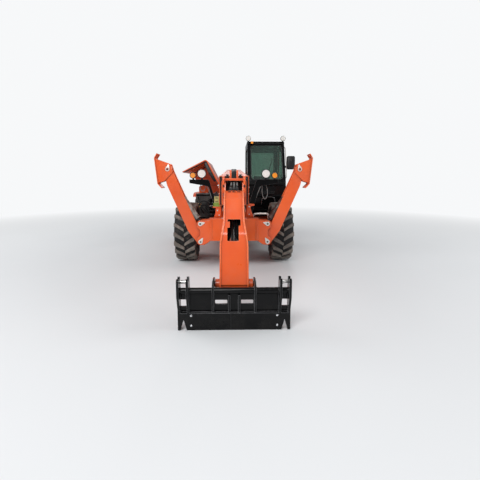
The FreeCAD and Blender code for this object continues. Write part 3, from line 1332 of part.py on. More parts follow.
def mirror():
    """The mirror on its arm beside the windshield."""
    head = slab("mirror_head", "front", "cab_front_back + 95", "cab_front_back + 145",
                [("mirror_inner", "mirror_low", "35"), ("mirror_outer", "mirror_low", "35"),
                 ("mirror_outer", "mirror_high", "35"), ("mirror_inner", "mirror_high", "35")])
    arm = bar("mirror_arm", "x", "12", "cab_outer + seat_gap", "mirror_inner + 60",
              y="cab_front_back + 145", z="mirror_low + 60")
    foot = bar("mirror_foot", "x", "26", "cab_outer + seat_gap", "cab_outer + 14",
               y="cab_front_back + 145", z="mirror_low + 60")
    node("mirror", fused("mirror_body", head, arm, foot))


HOOD_HINGES = (("front", "bay_front_back + 150"), ("rear", "bay_front_back + bay_length - 210"))


def engine(front, rear):
    """The block with its covers, belt wheel, fan ring, air filter, silencer and pipes."""
    inner, outer = "-bay_inner - 90", "-bay_outer + 170"
    low, high = "(bay_low + bay_wall + seat_gap)", "(hood_height - 215)"
    start, end = f"({front} + 430)", f"({rear} - 220)"
    sump = block("engine_sump", (f"{outer} + 60", f"{start} + 60", low),
                 (inner, f"{end} - 60", f"{low} + 160"))
    body = block("engine_body", (outer, start, f"{low} + 150"), (inner, end, f"{high} - 110"))
    head = slab("engine_head", "front", f"{start} + 40", f"{end} - 40",
                [(f"{outer} + 70", f"{high} - 115"), (f"{inner} - 60", f"{high} - 115"),
                 (f"{inner} - 60", high, "30"),
                 (f"{outer} + 70", high, "30")])
    middle = "(-(bay_inner + bay_outer) / 2 - 10)"
    wheel = bar("engine_belt_wheel", "y", "85", f"{start} - 60", f"{start} + 5", x=middle, z=f"{low} + 260")
    fan = bar("engine_fan_hub", "y", "60", f"{start} - 95", f"{start} + 5", x=middle, z=f"{low} + 420")
    ring_wall = turned("engine_fan_ring", "side", "y",
                       [("0", "205"), ("0", "222"), ("90", "222"), ("90", "205")])
    place(ring_wall, x=middle, y=f"{start} - 190", z=f"{low} + 370")
    shroud = slab("engine_shroud", "front", f"{start} - 235", f"{start} - 170",
                  [(f"{middle} - 235", low), (f"{middle} + 215", low),
                   (f"{middle} + 215", f"{low} + 600", "20"), (f"{middle} - 235", f"{low} + 600", "20")],
                  ("circle", middle, f"{low} + 370", "206"))
    core = block("engine_radiator", (f"{middle} - 225", f"{start} - 300", f"{low} + 5"),
                 (f"{middle} + 205", f"{start} - 225", f"{low} + 590"))
    rails = [block(f"engine_rail_{i}", (f"{middle} + {offset}", f"{start} - 200", low),
                   (f"{middle} + {offset} + 50", f"{start} + 70", f"{low} + 45"))
             for i, offset in enumerate(("(-150)", "100"))]
    filter_can = bar("engine_air_filter", "y", "75", f"{start} + 80", f"{start} + 430",
                     x="-bay_outer + 130",
                     z=f"{high} - 260")
    pipe = bar("engine_intake_pipe", "x", "32", "-bay_outer + 140", f"{middle}", y=f"{start} + 120",
               z=f"{high} - 150")
    silencer = bar("engine_silencer", "y", "70", f"{start} + 60", f"{end} + 60", x="-bay_inner - 100",
                   z=f"{high} - 58")
    node("engine_block", fused("engine_shape", sump, body, head, *rails, wheel, fan, ring_wall, shroud,
                               core,
                               filter_can, pipe, silencer))


def engine_side():
    """The engine's bay on the boom's other side, its block and its hinged hood, standing open."""
    front = "bay_front_back"
    rear = "(bay_front_back + bay_length)"
    tray = block("bay_tray", ("-bay_outer", front, "bay_low"), ("-frame_half", rear, "bay_low + bay_wall"))
    inner = block("bay_inner_wall", ("-bay_inner", front, "bay_low"),
                  ("-bay_inner + bay_wall", rear, "hood_height - hood_wall - 30"))
    far, high = "-bay_outer + hood_wall + side_play", "hood_height - hood_wall - side_play"
    wall_back = f"({rear} - hood_wall - side_play)"
    rear_wall = slab("bay_rear_wall", "front", f"{wall_back} - bay_wall", wall_back,
                     [(far, "bay_low"), ("-bay_inner", "bay_low"), ("-bay_inner", high), (far, high, "60")])
    lugs = []
    for rank, start in HOOD_HINGES:
        eye_start, eye_end = start, f"{start} + hinge_length"
        pin = bar(f"hood_pin_{rank}", "y", "hinge_pin_radius", f"{eye_start} - 20", f"{eye_end} + 20",
                  x="-bay_inner", z="hood_height")
        for end, low, high in (("near", f"{eye_start} - 20", f"{eye_start} - seat_gap"),
                               ("far", f"{eye_end} + seat_gap", f"{eye_end} + 20")):
            lugs.append(block(f"hood_lug_{rank}_{end}",
                              ("-bay_inner - 12", low, "hood_height - hood_wall - 60"),
                              ("-bay_inner + 14", high, "hood_height + 12")))
        lugs.append(pin)
    node("engine_bay", fused("engine_bay_body", tray, inner, rear_wall, *lugs))
    engine(front, wall_back)
    # The hood in its own frame: hinge at zero, top panel towards -X, side panel down, then turned open
    width = "(bay_outer - bay_inner)"
    shell = slab(
        "hood_shell", "front", front, rear,
        [("-40", "0"), (f"-{width}", "0", "60"), (f"-{width}", "-hood_side"),
         (f"-{width} + hood_wall", "-hood_side"),
         (f"-{width} + hood_wall", "-hood_wall", "40"), ("-40", "-hood_wall")],
    )
    end_wall = slab("hood_end_wall", "front", f"{rear} - hood_wall", rear,
                    [("-45", "-1"), (f"-{width} + 1", "-1", "59"), (f"-{width} + 1", "-hood_side + 40"),
                     (f"-{width} + 220", "-hood_side + 40", "120"), ("-45", "-hood_end_drop", "60")])
    pieces, holes = [shell, end_wall], []
    for rank, start in HOOD_HINGES:
        end = f"{start} + hinge_length"
        pieces.append(bar(f"hood_eye_{rank}", "y", "hinge_eye_radius", start, end, x="0", z="0"))
        pieces.append(block(f"hood_arm_{rank}", ("-60", start, "-16"), ("0", end, "0")))
        holes.append(bar(f"hood_hole_{rank}", "y", "hinge_pin_radius + pin_play / 2", f"{start} - 5",
                         f"{end} + 5",
                         x="0", z="0"))
    hood = cut("hood_body", fused("hood_raw", *pieces), *holes)
    node("engine_hood", place(hood, "y", "hood_open", x="-bay_inner", z="hood_height"))


def cab_interior():
    """The seat on its pedestal and the steering column with its wheel."""
    middle = "(cab_inner + cab_outer) / 2"
    low = "cab_low + cab_wall"
    front = "cab_front_back"
    pedestal = block("seat_pedestal", (f"{middle} - 180", f"{front} + 750", low),
                     (f"{middle} + 180", f"{front} + 1150", f"{low} + 260"))
    cushion = slab(
        "seat_cushion", "side", f"{middle} - 240", f"{middle} + 240",
        [(f"{front} + 680", f"{low} + 255", "40"), (f"{front} + 1240", f"{low} + 255", "40"),
         (f"{front} + 1380", f"{low} + 950", "60"), (f"{front} + 1260", f"{low} + 960", "50"),
         (f"{front} + 1140", f"{low} + 400", "60"), (f"{front} + 680", f"{low} + 390", "50")],
    )
    node("operator_seat", fused("operator_seat_body", pedestal, cushion))
    column = slab(
        "console_column", "side", f"{middle} - 70", f"{middle} + 70",
        [(f"{front} + 400", low), (f"{front} + 520", low), (f"{front} + 500", f"{low} + 560"),
         (f"{front} + 330", f"{low} + 640", "40"), (f"{front} + 250", f"{low} + 560", "60")],
    )
    grip = [(f"steering_radius + steering_grip * cos({turn})", f"steering_grip * sin({turn})")
            for turn in (22.5, 67.5, 112.5, 157.5, 202.5, 247.5, 292.5, 337.5)]
    wheel = turned("steering_wheel_ring", "front", "z", grip)
    hub = bar("steering_wheel_hub", "z", "35", "-60", "8", x="0", y="0")
    spokes = [block("steering_spoke_across", ("5 - steering_radius", "-14", "-8"),
                    ("steering_radius - 5", "14", "8")),
              block("steering_spoke_back", ("-14", "0", "-8"), ("14", "steering_radius - 5", "8"))]
    steering = place(fused("steering_wheel", wheel, hub, *spokes), "x", "30", x=middle,
                     y=f"{front} + 470", z=f"{low} + 640")
    node("steering_console", fused("steering_console_body", column, steering))


def lamps():
    """Front lamps over leaning posts that stand against the frame's cheeks, and the roof lamps' lenses."""
    face = "-lamp_ahead"
    bar_low, bar_high = "(lamp_height - lamp_bar_under)", "(lamp_height - lamp_bar_under + 65)"
    foot = "(frame_half + seat_gap)"
    posts, lenses, signals = [], [], []
    # The post beside the cab is a broad plate, the one beside the engine a slimmer arm
    for side, sign, slimmer in (("left", "", "0"), ("right", "-", "45")):
        post = slab(
            f"lamp_post_{side}", "front", face, f"{face} + 12",
            [(f"{sign}{foot}", "frame_high - 20"), (f"{sign}({foot} + 60)", "frame_high + 20", "40"),
             (f"{sign}(lamp_half - 120)", f"{bar_low} - 60", "60"),
             (f"{sign}(signal_half + 70)", bar_low, "20"),
             (f"{sign}(signal_half + 70)", bar_high, "10"),
             (f"{sign}(lamp_half - 170 + {slimmer})", bar_high, "50"),
             (f"{sign}{foot}", f"frame_high + 210 - 3.3 * {slimmer}", "60")],
        )
        lip_ends = ("lamp_half - 40", "signal_half + 70")
        if sign:
            lip_ends = ("-signal_half - 70", "40 - lamp_half")
        lip = block(f"lamp_bar_{side}", (lip_ends[0], face, f"{bar_high} - 12"),
                    (lip_ends[1], f"{face} + 60", bar_high))
        stalks = []
        for name, half, high in (("lamp", "lamp_half", "lamp_height - lamp_radius + 8"),
                                 ("signal", "signal_half", "signal_height - signal_radius + 8")):
            low_x, high_x = (f"{half} - 16", f"{half} + 16") if not sign else (f"-{half} - 16",
                                                                               f"-{half} + 16")
            stalks.append(block(f"{name}_stalk_{side}", (low_x, f"{face} + 4", f"{bar_high} - 2"),
                                (high_x, f"{face} + 34", high)))
        shell = turned(f"lamp_shell_{side}", "side", "y",
                       [("-40", "0"), ("-40", "lamp_radius"), ("10", "lamp_radius"),
                        ("62", "lamp_radius - 36", "30"),
                        ("62", "0")])
        place(shell, x=f"{sign}lamp_half", y=face, z="lamp_height")
        cup = bar(f"signal_shell_{side}", "y", "signal_radius", f"{face} - 24", f"{face} + 36",
                  x=f"{sign}signal_half", z="signal_height")
        posts += [fused(f"lamp_stand_{side}", post, lip, *stalks, shell, cup)]
        lenses.append(bar(f"lamp_lens_{side}", "y", "lamp_radius - 6", f"{face} - 50", f"{face} - 40",
                          x=f"{sign}lamp_half", z="lamp_height"))
        signals.append(bar(f"signal_lens_{side}", "y", "signal_radius - 4", f"{face} - 44", f"{face} - 24",
                           x=f"{sign}signal_half", z="signal_height"))
    for side, place_x in ROOF_LAMPS:
        lenses.append(bar(f"work_lens_{side}", "y", "work_lamp_radius - 6", f"{ROOF_EDGE} - 8", ROOF_EDGE,
                          x=place_x, z="cab_roof + work_lamp_over"))
    signals.append(bar("beacon", "y", "beacon_radius", f"{ROOF_EDGE} - 70", f"{ROOF_EDGE} - 20",
                       x=BEACON_PLACE, z="cab_roof - 40"))
    node("headlamp_stands", group("headlamp_stands_group", *posts))
    node("headlamp_lenses", group("headlamp_lenses_group", *lenses))
    node("signal_lenses", group("signal_lenses_group", *signals))


def tanks():
    front, rear = "bay_front_back", "(bay_front_back + bay_length)"
    fuel = slab(
        "fuel_tank_body", "front", front, f"{rear} - 200",
        [("frame_half + seat_gap", "tank_low", "30"), ("cab_outer - 60", "tank_low", "60"),
         ("cab_outer - 60", "tank_high", "30"), ("frame_half + seat_gap", "tank_high")],
    )
    steps = []
    for rank, height in (("low", "tank_low + 50"), ("high", "tank_high - 75")):
        steps.append(slab(
            f"step_{rank}", "top", height, f"{height} + 25",
            [("cab_outer - 62", f"{front} + 400"), ("cab_outer - 6", f"{front} + 400", "20"),
             ("cab_outer - 6", f"{front} + 800", "20"), ("cab_outer - 62", f"{front} + 800")],
        ))
    node("fuel_tank", fused("fuel_tank_shape", fuel, *steps))
    oil = slab(
        "oil_tank_body", "front", front, rear,
        [("-frame_half - seat_gap", "tank_low", "30"), ("-bay_outer", "tank_low", "60"),
         ("-bay_outer", "oil_tank_high", "30"), ("-frame_half - seat_gap", "oil_tank_high")],
    )
    node("hydraulic_tank", oil)


def valve_bank():
    """The hydraulic valve block on its shelf beside the frame, with its spool caps and side ports."""
    low_x, high_x = "-valve_reach", "(-frame_half - seat_gap)"
    shelf = block("valve_shelf", (low_x, "-10", "valve_low - 14"), (high_x, "250", "valve_low"))
    knee = slab("valve_knee", "front", "110", "124",
                [(f"{high_x}", "valve_low - 10"), (f"{high_x}", "valve_low - 160"),
                 (f"{low_x} + 60", "valve_low - 10")])
    body = block("valve_body", (f"{low_x} + 30", "40", "valve_low - 1"),
                 (f"{high_x} - 60", "200", "valve_high"))
    pieces = [shelf, knee, body]
    for i in range(5):
        centre = f"({low_x} + 62 + {i} * (valve_reach - frame_half - 90 - 64) / 4)"
        pieces.append(bar(f"valve_cap_{i}", "z", "19", "valve_high - 2", "valve_high + 95", x=centre,
                          y="160"))
        pieces.append(bar(f"valve_port_{i}", "y", "17", "10", "42", x=centre, z="valve_high - 60"))
        pieces.append(bar(f"valve_plug_{i}", "y", "14", "22", "42", x=centre, z="valve_low + 70"))
    node("valve_bank", fused("valve_bank_body", *pieces))


def fenders():
    """A plate over each rear wheel, on brackets from the tower."""
    rise = [
        (f"{REAR_AXLE} - fender_reach", "fender_high - fender_drop - 70", "20"),
        (f"{REAR_AXLE} - fender_reach + 20", "fender_high - fender_drop", "80"),
        (f"{REAR_AXLE} - fender_reach + 190", "fender_high", "180"),
        (f"{REAR_AXLE} + fender_reach - 190", "fender_high", "180"),
        (f"{REAR_AXLE} + fender_reach - 20", "fender_high - fender_drop", "80"),
        (f"{REAR_AXLE} + fender_reach", "fender_high - fender_drop - 70", "20"),
    ]
    under = [(place_y, f"{height} - fender_wall", rounding) for place_y, height, rounding in rise[1:-1]]
    under = [(f"{REAR_AXLE} - fender_reach + fender_wall", rise[0][1]), *under,
             (f"{REAR_AXLE} + fender_reach - fender_wall", rise[-1][1])]
    rise[0], rise[-1] = rise[0][:2], rise[-1][:2]
    sheet_left = slab("fender_sheet", "side", "fender_inner", "fender_outer", rise + under[::-1])
    bracket = slab("fender_bracket", "top", "fender_high - fender_wall - 30", "fender_high - 4",
                   [("frame_half + seat_gap", f"{REAR_AXLE} + 60"),
                    ("fender_inner + 30", f"{REAR_AXLE} + 120"),
                    ("fender_inner + 30", f"{REAR_AXLE} + 260"),
                    ("frame_half + seat_gap", f"{REAR_AXLE} + 380")])
    left = fused("fender_left", sheet_left, bracket)
    node("rear_fenders", group("rear_fenders_group", left, mirrored("fender_right", left)))


def counterweight():
    body = slab(
        "counterweight_body", "top", "frame_low", "frame_high + 150",
        [("-counterweight_half", f"{TAIL} - 219.7"), ("-counterweight_half", f"{TAIL} - 60", "60"),
         ("-counterweight_half + 200", TAIL, "60"), ("counterweight_half - 200", TAIL, "60"),
         ("counterweight_half", f"{TAIL} - 60", "60"), ("counterweight_half", f"{TAIL} - 219.7")],
    )
    plates = [block(f"tow_plate_{rank}", ("-70", f"{TAIL} - 170", low), ("70", f"{TAIL} - 40", high))
              for rank, low, high in (("low", "frame_low - 110", "frame_low - 90"),
                                      ("high", "frame_low - 20", "frame_low + 1"))]
    web = block("tow_web", ("-70", f"{TAIL} - 190", "frame_low - 110"),
                ("70", f"{TAIL} - 165", "frame_low + 1"))
    pin = bar("tow_pin", "z", "16", "frame_low - 125", "frame_low - 5", x="0", y=f"{TAIL} - 85")
    node("counterweight", fused("counterweight_shape", body, *plates, web, pin))


def save():
    doc.recompute()
    bad = [thing.Name for thing in doc.Objects if {"Invalid", "Error"} & set(thing.State)]
    if bad:
        raise RuntimeError("these objects failed: " + ", ".join(bad))
    os.makedirs("parts", exist_ok=True)
    for solid in NODES:
        if solid.Shape.isNull() or not solid.Shape.isValid():
            raise RuntimeError(f"{solid.Label} has no valid shape")
        solid.Shape.exportStep(f"parts/{solid.Label}.step")


main_frame()
pivot_pins()
stabiliser_beam()
stabilisers()
running_gear()
outer_boom()
middle_boom()
inner_boom()
neck()
boom_cylinders()
carriage()
cab()
door()
cab_interior()
engine_side()
lamps()
mirror()
valve_bank()
fenders()
tanks()
counterweight()
save()
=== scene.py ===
# %% [markdown]
# A telehandler seen from the front, dressed for a picture. The hard shapes come from the CAD model,
# so this lesson starts by loading it as a fixed frame: every node keeps its place and its size.
# Modelling the plates again here would only invite mistakes. What is made here is what a CAD source
# is too coarse for: paint, dust, tread blocks, hoses, bolts, retainers and glass.

# %% Load the frame
import math
import json

import bpy
from mathutils import Matrix, Vector


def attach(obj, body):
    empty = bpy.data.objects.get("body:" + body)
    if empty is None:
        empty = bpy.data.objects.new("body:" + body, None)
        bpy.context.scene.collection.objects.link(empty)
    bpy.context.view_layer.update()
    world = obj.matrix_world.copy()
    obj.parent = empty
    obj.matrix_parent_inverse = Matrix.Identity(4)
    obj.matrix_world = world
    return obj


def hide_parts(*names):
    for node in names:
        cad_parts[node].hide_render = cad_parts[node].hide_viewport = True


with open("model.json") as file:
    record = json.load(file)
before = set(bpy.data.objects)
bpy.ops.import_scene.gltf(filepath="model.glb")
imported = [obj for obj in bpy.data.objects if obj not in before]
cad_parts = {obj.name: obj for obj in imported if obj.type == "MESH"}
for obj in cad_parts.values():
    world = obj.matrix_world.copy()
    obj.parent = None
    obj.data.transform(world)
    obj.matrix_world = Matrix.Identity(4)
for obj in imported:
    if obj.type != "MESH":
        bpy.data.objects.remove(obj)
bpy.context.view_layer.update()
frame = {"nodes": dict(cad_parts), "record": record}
nodes = frame["nodes"]

# %% [markdown]
# The camera is solved from the photograph: the horizon, the ground under the front tyres and the
# boom's own centre line give its height, distance and turn. A short lens stands close to the
# carriage, which is why the neck looks long and the cab small. The picture is a cut from a taller
# frame, so the optical axis is not in its middle and the camera needs a small shift.

# %% Camera
FOCAL_PIXELS = 300
FRAME_PIXELS = 480
SENSOR_MM = 36
CAMERA_PLACE = (0.0, -6.63, 1.584)
CAMERA_PITCH_DOWN = 6.0
CAMERA_TURN = 1.15
CAMERA_SHIFT = -0.055

camera_data = bpy.data.cameras.new("photo_camera")
camera_data.sensor_width = SENSOR_MM
camera_data.lens = FOCAL_PIXELS / FRAME_PIXELS * SENSOR_MM
camera_data.shift_y = CAMERA_SHIFT
camera_data.clip_end = 200
camera = bpy.data.objects.new("photo_camera", camera_data)
bpy.context.scene.collection.objects.link(camera)
camera.location = CAMERA_PLACE
camera.rotation_euler = (math.radians(90 - CAMERA_PITCH_DOWN), 0, math.radians(-CAMERA_TURN))
bpy.context.scene.camera = camera
print("camera lens", round(camera_data.lens, 2), "mm")

# %% [markdown]
# Studio light: one broad lamp high in front, a softer one at each side, one behind and a pale sky.
# Broad lamps draw long soft highlights on glossy paint. The sky is seen as white by the camera and
# through glass, and is dimmer as a light and in reflections, so that colours render as written.

# %% Light and sky
bpy.context.scene.view_settings.view_transform = "Standard"


def area_lamp(name, place, aim, size, power):
    data = bpy.data.lights.new(name, "AREA")
    data.shape = "RECTANGLE"
    data.size, data.size_y = size
    data.energy = power
    lamp = bpy.data.objects.new(name, data)
    bpy.context.scene.collection.objects.link(lamp)
    lamp.location = place
    lamp.rotation_euler = (Vector(aim) - Vector(place)).to_track_quat("-Z", "Y").to_euler()
    return lamp


area_lamp("front_lamp", (-2.5, -9.5, 7.5), (0, -1.5, 0.8), (6, 3.5), 760)
area_lamp("left_lamp", (8.5, -3.0, 6.0), (0, 0, 1.0), (6, 4), 380)
area_lamp("right_lamp", (-8.5, 1.0, 6.5), (0, 0.5, 1.0), (6, 4), 330)
area_lamp("rear_lamp", (1.5, 9.5, 7.0), (0, 1.0, 1.0), (6, 4), 300)

SKY_LIGHT = 0.34
SKY_SEEN = (0.93, 0.94, 0.95, 1)
world = bpy.data.worlds.new("studio_sky")
bpy.context.scene.world = world
world.use_nodes = True
sky = world.node_tree
sky.nodes.clear()
rays = sky.nodes.new("ShaderNodeLightPath")
seen_or_mirrored = sky.nodes.new("ShaderNodeMath")
seen_or_mirrored.operation = "MAXIMUM"
sky.links.new(rays.outputs["Is Camera Ray"], seen_or_mirrored.inputs[0])
sky.links.new(rays.outputs["Is Transmission Ray"], seen_or_mirrored.inputs[1])
lit = sky.nodes.new("ShaderNodeBackground")
lit.inputs["Color"].default_value = (0.92, 0.96, 1.0, 1)
lit.inputs["Strength"].default_value = SKY_LIGHT
seen = sky.nodes.new("ShaderNodeBackground")
seen.inputs["Color"].default_value = SKY_SEEN
seen.inputs["Strength"].default_value = 1.0
sky_mix = sky.nodes.new("ShaderNodeMixShader")
sky_out = sky.nodes.new("ShaderNodeOutputWorld")
sky.links.new(seen_or_mirrored.outputs[0], sky_mix.inputs[0])
sky.links.new(lit.outputs[0], sky_mix.inputs[1])
sky.links.new(seen.outputs[0], sky_mix.inputs[2])
sky.links.new(sky_mix.outputs[0], sky_out.inputs["Surface"])

# %% [markdown]
# Materials are small graphs of nodes. The same few steps come back in each: a pattern read from
# Object coordinates, a ramp that sharpens it, and a mix into colour, roughness or bump. They are
# written once here as helpers. Object coordinates suit a machine whose pieces all sit at the
# origin: a speck is as large on the boom as on a bolt.

# %% Material helpers
DUST = (0.36, 0.33, 0.29)
SHADER_SAMPLES = 6


class Finish:
    """One material and the handles that its graph needs."""

    def __init__(self, name):
        self.material = bpy.data.materials.new(name)
        self.material.use_nodes = True
        self.tree = self.material.node_tree
        self.shader = self.tree.nodes["Principled BSDF"]
        self.place = self.tree.nodes.new("ShaderNodeTexCoord")

    def link(self, source, target):
        self.tree.links.new(source, target)

    def set(self, **values):
        for socket, value in values.items():
            self.shader.inputs[socket.replace("_", " ")].default_value = value
        return self

    def noise(self, scale, detail=4.0, roughness=0.55, stretch=None):
        source = self.place.outputs["Object"]
        if stretch:
            mapping = self.tree.nodes.new("ShaderNodeMapping")
            mapping.inputs["Scale"].default_value = stretch
            self.link(source, mapping.inputs["Vector"])
            source = mapping.outputs["Vector"]
        noise = self.tree.nodes.new("ShaderNodeTexNoise")
        noise.inputs["Scale"].default_value = scale
        noise.inputs["Detail"].default_value = detail
        noise.inputs["Roughness"].default_value = roughness
        self.link(source, noise.inputs["Vector"])
        return noise.outputs["Fac"]

    def ramp(self, source, low, high, out_low=0.0, out_high=1.0):
        """Maps low..high to out_low..out_high and holds the ends."""
        node = self.tree.nodes.new("ShaderNodeMapRange")
        for socket, value in zip(("From Min", "From Max", "To Min", "To Max"),
                                 (low, high, out_low, out_high)):
            node.inputs[socket].default_value = value
        self.link(source, node.inputs["Value"])
        return node.outputs["Result"]

    def math(self, operation, first, second):
        node = self.tree.nodes.new("ShaderNodeMath")
        node.operation = operation
        node.use_clamp = True
        for socket, value in zip(node.inputs, (first, second)):
            if isinstance(value, (int, float)):
                socket.default_value = value
            else:
                self.link(value, socket)
        return node.outputs[0]

    def mix(self, factor, first, second):
        node = self.tree.nodes.new("ShaderNodeMix")
        node.data_type = "RGBA"
        for socket, value in ((node.inputs[0], factor), (node.inputs[6], first), (node.inputs[7], second)):
            if isinstance(value, (int, float)):
                socket.default_value = value
            elif isinstance(value, tuple):
                socket.default_value = (*value, 1)
            else:
                self.link(value, socket)
        return node.outputs[2]

    def rounded(self, radius):
        """The normal as if sharp edges were rounded, made once for each finish."""
        if not hasattr(self, "rounded_normal"):
            bevel = self.tree.nodes.new("ShaderNodeBevel")
            bevel.samples = SHADER_SAMPLES
            bevel.inputs["Radius"].default_value = radius
            self.rounded_normal = bevel.outputs["Normal"]
        return self.rounded_normal

    def edges(self, radius):
        """1 along sharp edges and 0 on flat faces: where the rounded normal leaves the true one."""
        dot = self.tree.nodes.new("ShaderNodeVectorMath")
        dot.operation = "DOT_PRODUCT"
        self.link(self.rounded(radius), dot.inputs[0])
        self.link(self.tree.nodes.new("ShaderNodeNewGeometry").outputs["Normal"], dot.inputs[1])
        return self.ramp(dot.outputs["Value"], 0.80, 0.985, 1.0, 0.0)

    def corners(self, reach):
        """1 deep in a corner or a gap and 0 on an open face: how much of the sky a point misses."""
        shade = self.tree.nodes.new("ShaderNodeAmbientOcclusion")
        shade.samples = SHADER_SAMPLES
        shade.inputs["Distance"].default_value = reach
        return self.ramp(shade.outputs["AO"], 0.30, 0.95, 1.0, 0.0)

    def bump(self, height, strength, distance, rounding=0.0):
        """Bump over the surface, and, with rounding, a soft shine along sharp edges."""
        node = self.tree.nodes.new("ShaderNodeBump")
        node.inputs["Strength"].default_value = strength
        node.inputs["Distance"].default_value = distance
        self.link(height, node.inputs["Height"])
        if rounding:
            self.link(self.rounded(rounding), node.inputs["Normal"])
        self.link(node.outputs["Normal"], self.shader.inputs["Normal"])

    def upward(self):
        """How far the surface faces up on the piece itself, from 0 to 1."""
        split = self.tree.nodes.new("ShaderNodeSeparateXYZ")
        self.link(self.place.outputs["Normal"], split.inputs[0])
        return self.ramp(split.outputs["Z"], 0.35, 1.0)

    def height(self, low, high):
        """1 at height low falling to 0 at height high, in metres above the floor."""
        split = self.tree.nodes.new("ShaderNodeSeparateXYZ")
        self.link(self.place.outputs["Object"], split.inputs[0])
        return self.ramp(split.outputs["Z"], low, high, 1.0, 0.0)


# %% [markdown]
# Sprayed paint on steel plate: a glossy coat with a fine orange-peel bump, a colour that drifts a
# little from plate to plate, dust that settles on faces that look up and near the ground, and small
# chips. A dust layer is a second colour mixed in by a mask, which also dulls the coat. A lighter line
# runs along sharp edges: partly paint worn back from them, partly a painted highlight. It is found by
# comparing the true normal with a rounded one, and the same rounded normal makes the edges catch the
# light. Corners and gaps get painted shade: an ambient occlusion node finds where little sky reaches
# and darkens the colour there.

# %% Painted steel
EDGE_RADIUS = 0.008
# How far the painted shade in corners reaches
CORNER_SHADE_REACH = 0.07


def painted_steel(name, colour, deep, gloss, dust, chips, chip_colour, shine=0.5, coat=0.35, lighter_tone=None,
                  edge_wear_and_highlight=0.0, corner_shade=0.0):
    finish = Finish(name)
    drift = finish.ramp(finish.noise(1.7, 3), 0.3, 0.7)
    base = finish.mix(drift, deep, colour)
    speck = finish.ramp(finish.noise(38, 6, 0.7), 0.70 - chips, 0.72 - chips)
    patch = finish.ramp(finish.noise(5, 3), 0.52, 0.62)
    base = finish.mix(finish.math("MULTIPLY", finish.math("MULTIPLY", speck, patch), 0.8), base,
                      chip_colour)
    film = finish.math("MULTIPLY", finish.upward(), finish.ramp(finish.noise(9, 5, 0.65), 0.30, 0.75))
    splash = finish.math("MULTIPLY", finish.height(0.05, 0.75),
                         finish.ramp(finish.noise(6, 6, 0.7), 0.42, 0.75))
    veil = finish.ramp(finish.noise(2.6, 5, 0.6), 0.40, 0.85, 0.0, 0.5)
    settled = finish.math("MULTIPLY", finish.math("MAXIMUM", finish.math("MAXIMUM", film, splash), veil),
                          dust)
    base = finish.mix(settled, base, DUST)
    # A lighter colour along sharp edges: partly worn paint, partly a painted highlight
    if lighter_tone:
        base = finish.mix(finish.math("MULTIPLY", finish.edges(EDGE_RADIUS), edge_wear_and_highlight), base, lighter_tone)
    # Painted shade: the colour darkens in corners and gaps that little sky reaches
    if corner_shade:
        corner_shade_colour = tuple(value * 0.22 for value in deep)
        base = finish.mix(finish.math("MULTIPLY", finish.corners(CORNER_SHADE_REACH), corner_shade), base, corner_shade_colour)
    finish.link(base, finish.shader.inputs["Base Color"])
    dull = finish.math("ADD", finish.ramp(finish.noise(11, 4), 0.3, 0.7, gloss, gloss + 0.10),
                       finish.math("MULTIPLY", settled, 0.6))
    finish.link(dull, finish.shader.inputs["Roughness"])
    finish.set(Coat_Weight=coat, Coat_Roughness=0.12, Specular_IOR_Level=shine)
    waves = finish.math("ADD", finish.math("MULTIPLY", finish.noise(3.2, 2), 0.75),
                        finish.math("MULTIPLY", finish.noise(420, 2), 0.05))
    finish.bump(waves, 0.22, 0.01, rounding=EDGE_RADIUS)
    return finish.material


# The last three values: the lighter edge colour and its strength, partly wear and partly a painted
# highlight, then the strength of the painted shade in corners
orange_paint = painted_steel("orange_paint", (0.83, 0.120, 0.018), (0.73, 0.088, 0.013), 0.27, 0.24, 0.015,
                             (0.32, 0.05, 0.02), 0.42, 0.25, (0.98, 0.30, 0.11), 0.85, 0.75)
rim_paint = painted_steel("rim_paint", (0.80, 0.120, 0.022), (0.68, 0.086, 0.016), 0.34, 0.5, 0.02,
                          (0.3, 0.06, 0.03))
# The last two values: pale grey edges and their strength, partly wear and partly a painted highlight
black_paint = painted_steel("black_paint", (0.0026, 0.0026, 0.0030), (0.0014, 0.0014, 0.0018), 0.12, 0.03,
                            0.008, (0.05, 0.045, 0.04), 0.16, 0.06, (0.22, 0.22, 0.23), 0.7)
dark_iron = painted_steel("dark_iron", (0.035, 0.034, 0.034), (0.022, 0.021, 0.021), 0.45, 0.55, 0.03,
                          (0.14, 0.09, 0.06))
print("paints:", orange_paint.name, rim_paint.name, black_paint.name, dark_iron.name)

# %% [markdown]
# Tyre rubber is matt and nearly black, with a grey-brown bloom of dry soil that is strongest low on
# the wheel. The tread blocks' tops carry more of it, so they get a finish of their own.

# %% Rubber
def rubber(name, colour, soil, amount, rough):
    finish = Finish(name)
    cake = finish.ramp(finish.noise(14, 7, 0.72), 0.62 - amount * 0.35, 0.80)
    smear = finish.ramp(finish.noise(3.5, 4), 0.35, 0.75, 0.1, 0.9)
    lighter_tone = finish.math("MULTIPLY", cake, smear)
    finish.link(finish.mix(lighter_tone, colour, soil), finish.shader.inputs["Base Color"])
    finish.link(finish.ramp(lighter_tone, 0, 1, rough, min(rough + 0.2, 0.98)), finish.shader.inputs["Roughness"])
    finish.set(Specular_IOR_Level=0.35)
    grain = finish.math("ADD", finish.math("MULTIPLY", finish.noise(260, 3), 0.25),
                        finish.math("MULTIPLY", finish.noise(40, 4), 0.4))
    finish.bump(grain, 0.35, 0.003, rounding=0.004)
    return finish.material


SOIL = (0.17, 0.145, 0.12)
tyre_rubber = rubber("tyre_rubber", (0.0075, 0.0075, 0.008), SOIL, 0.30, 0.66)
dusty_tread = rubber("dusty_tread", (0.105, 0.094, 0.084), (0.42, 0.36, 0.305), 1.25, 0.78)
hose_rubber = rubber("hose_rubber", (0.012, 0.012, 0.013), SOIL, 0.2, 0.42)
seat_vinyl = rubber("seat_vinyl", (0.022, 0.022, 0.025), (0.09, 0.085, 0.08), 0.15, 0.48)

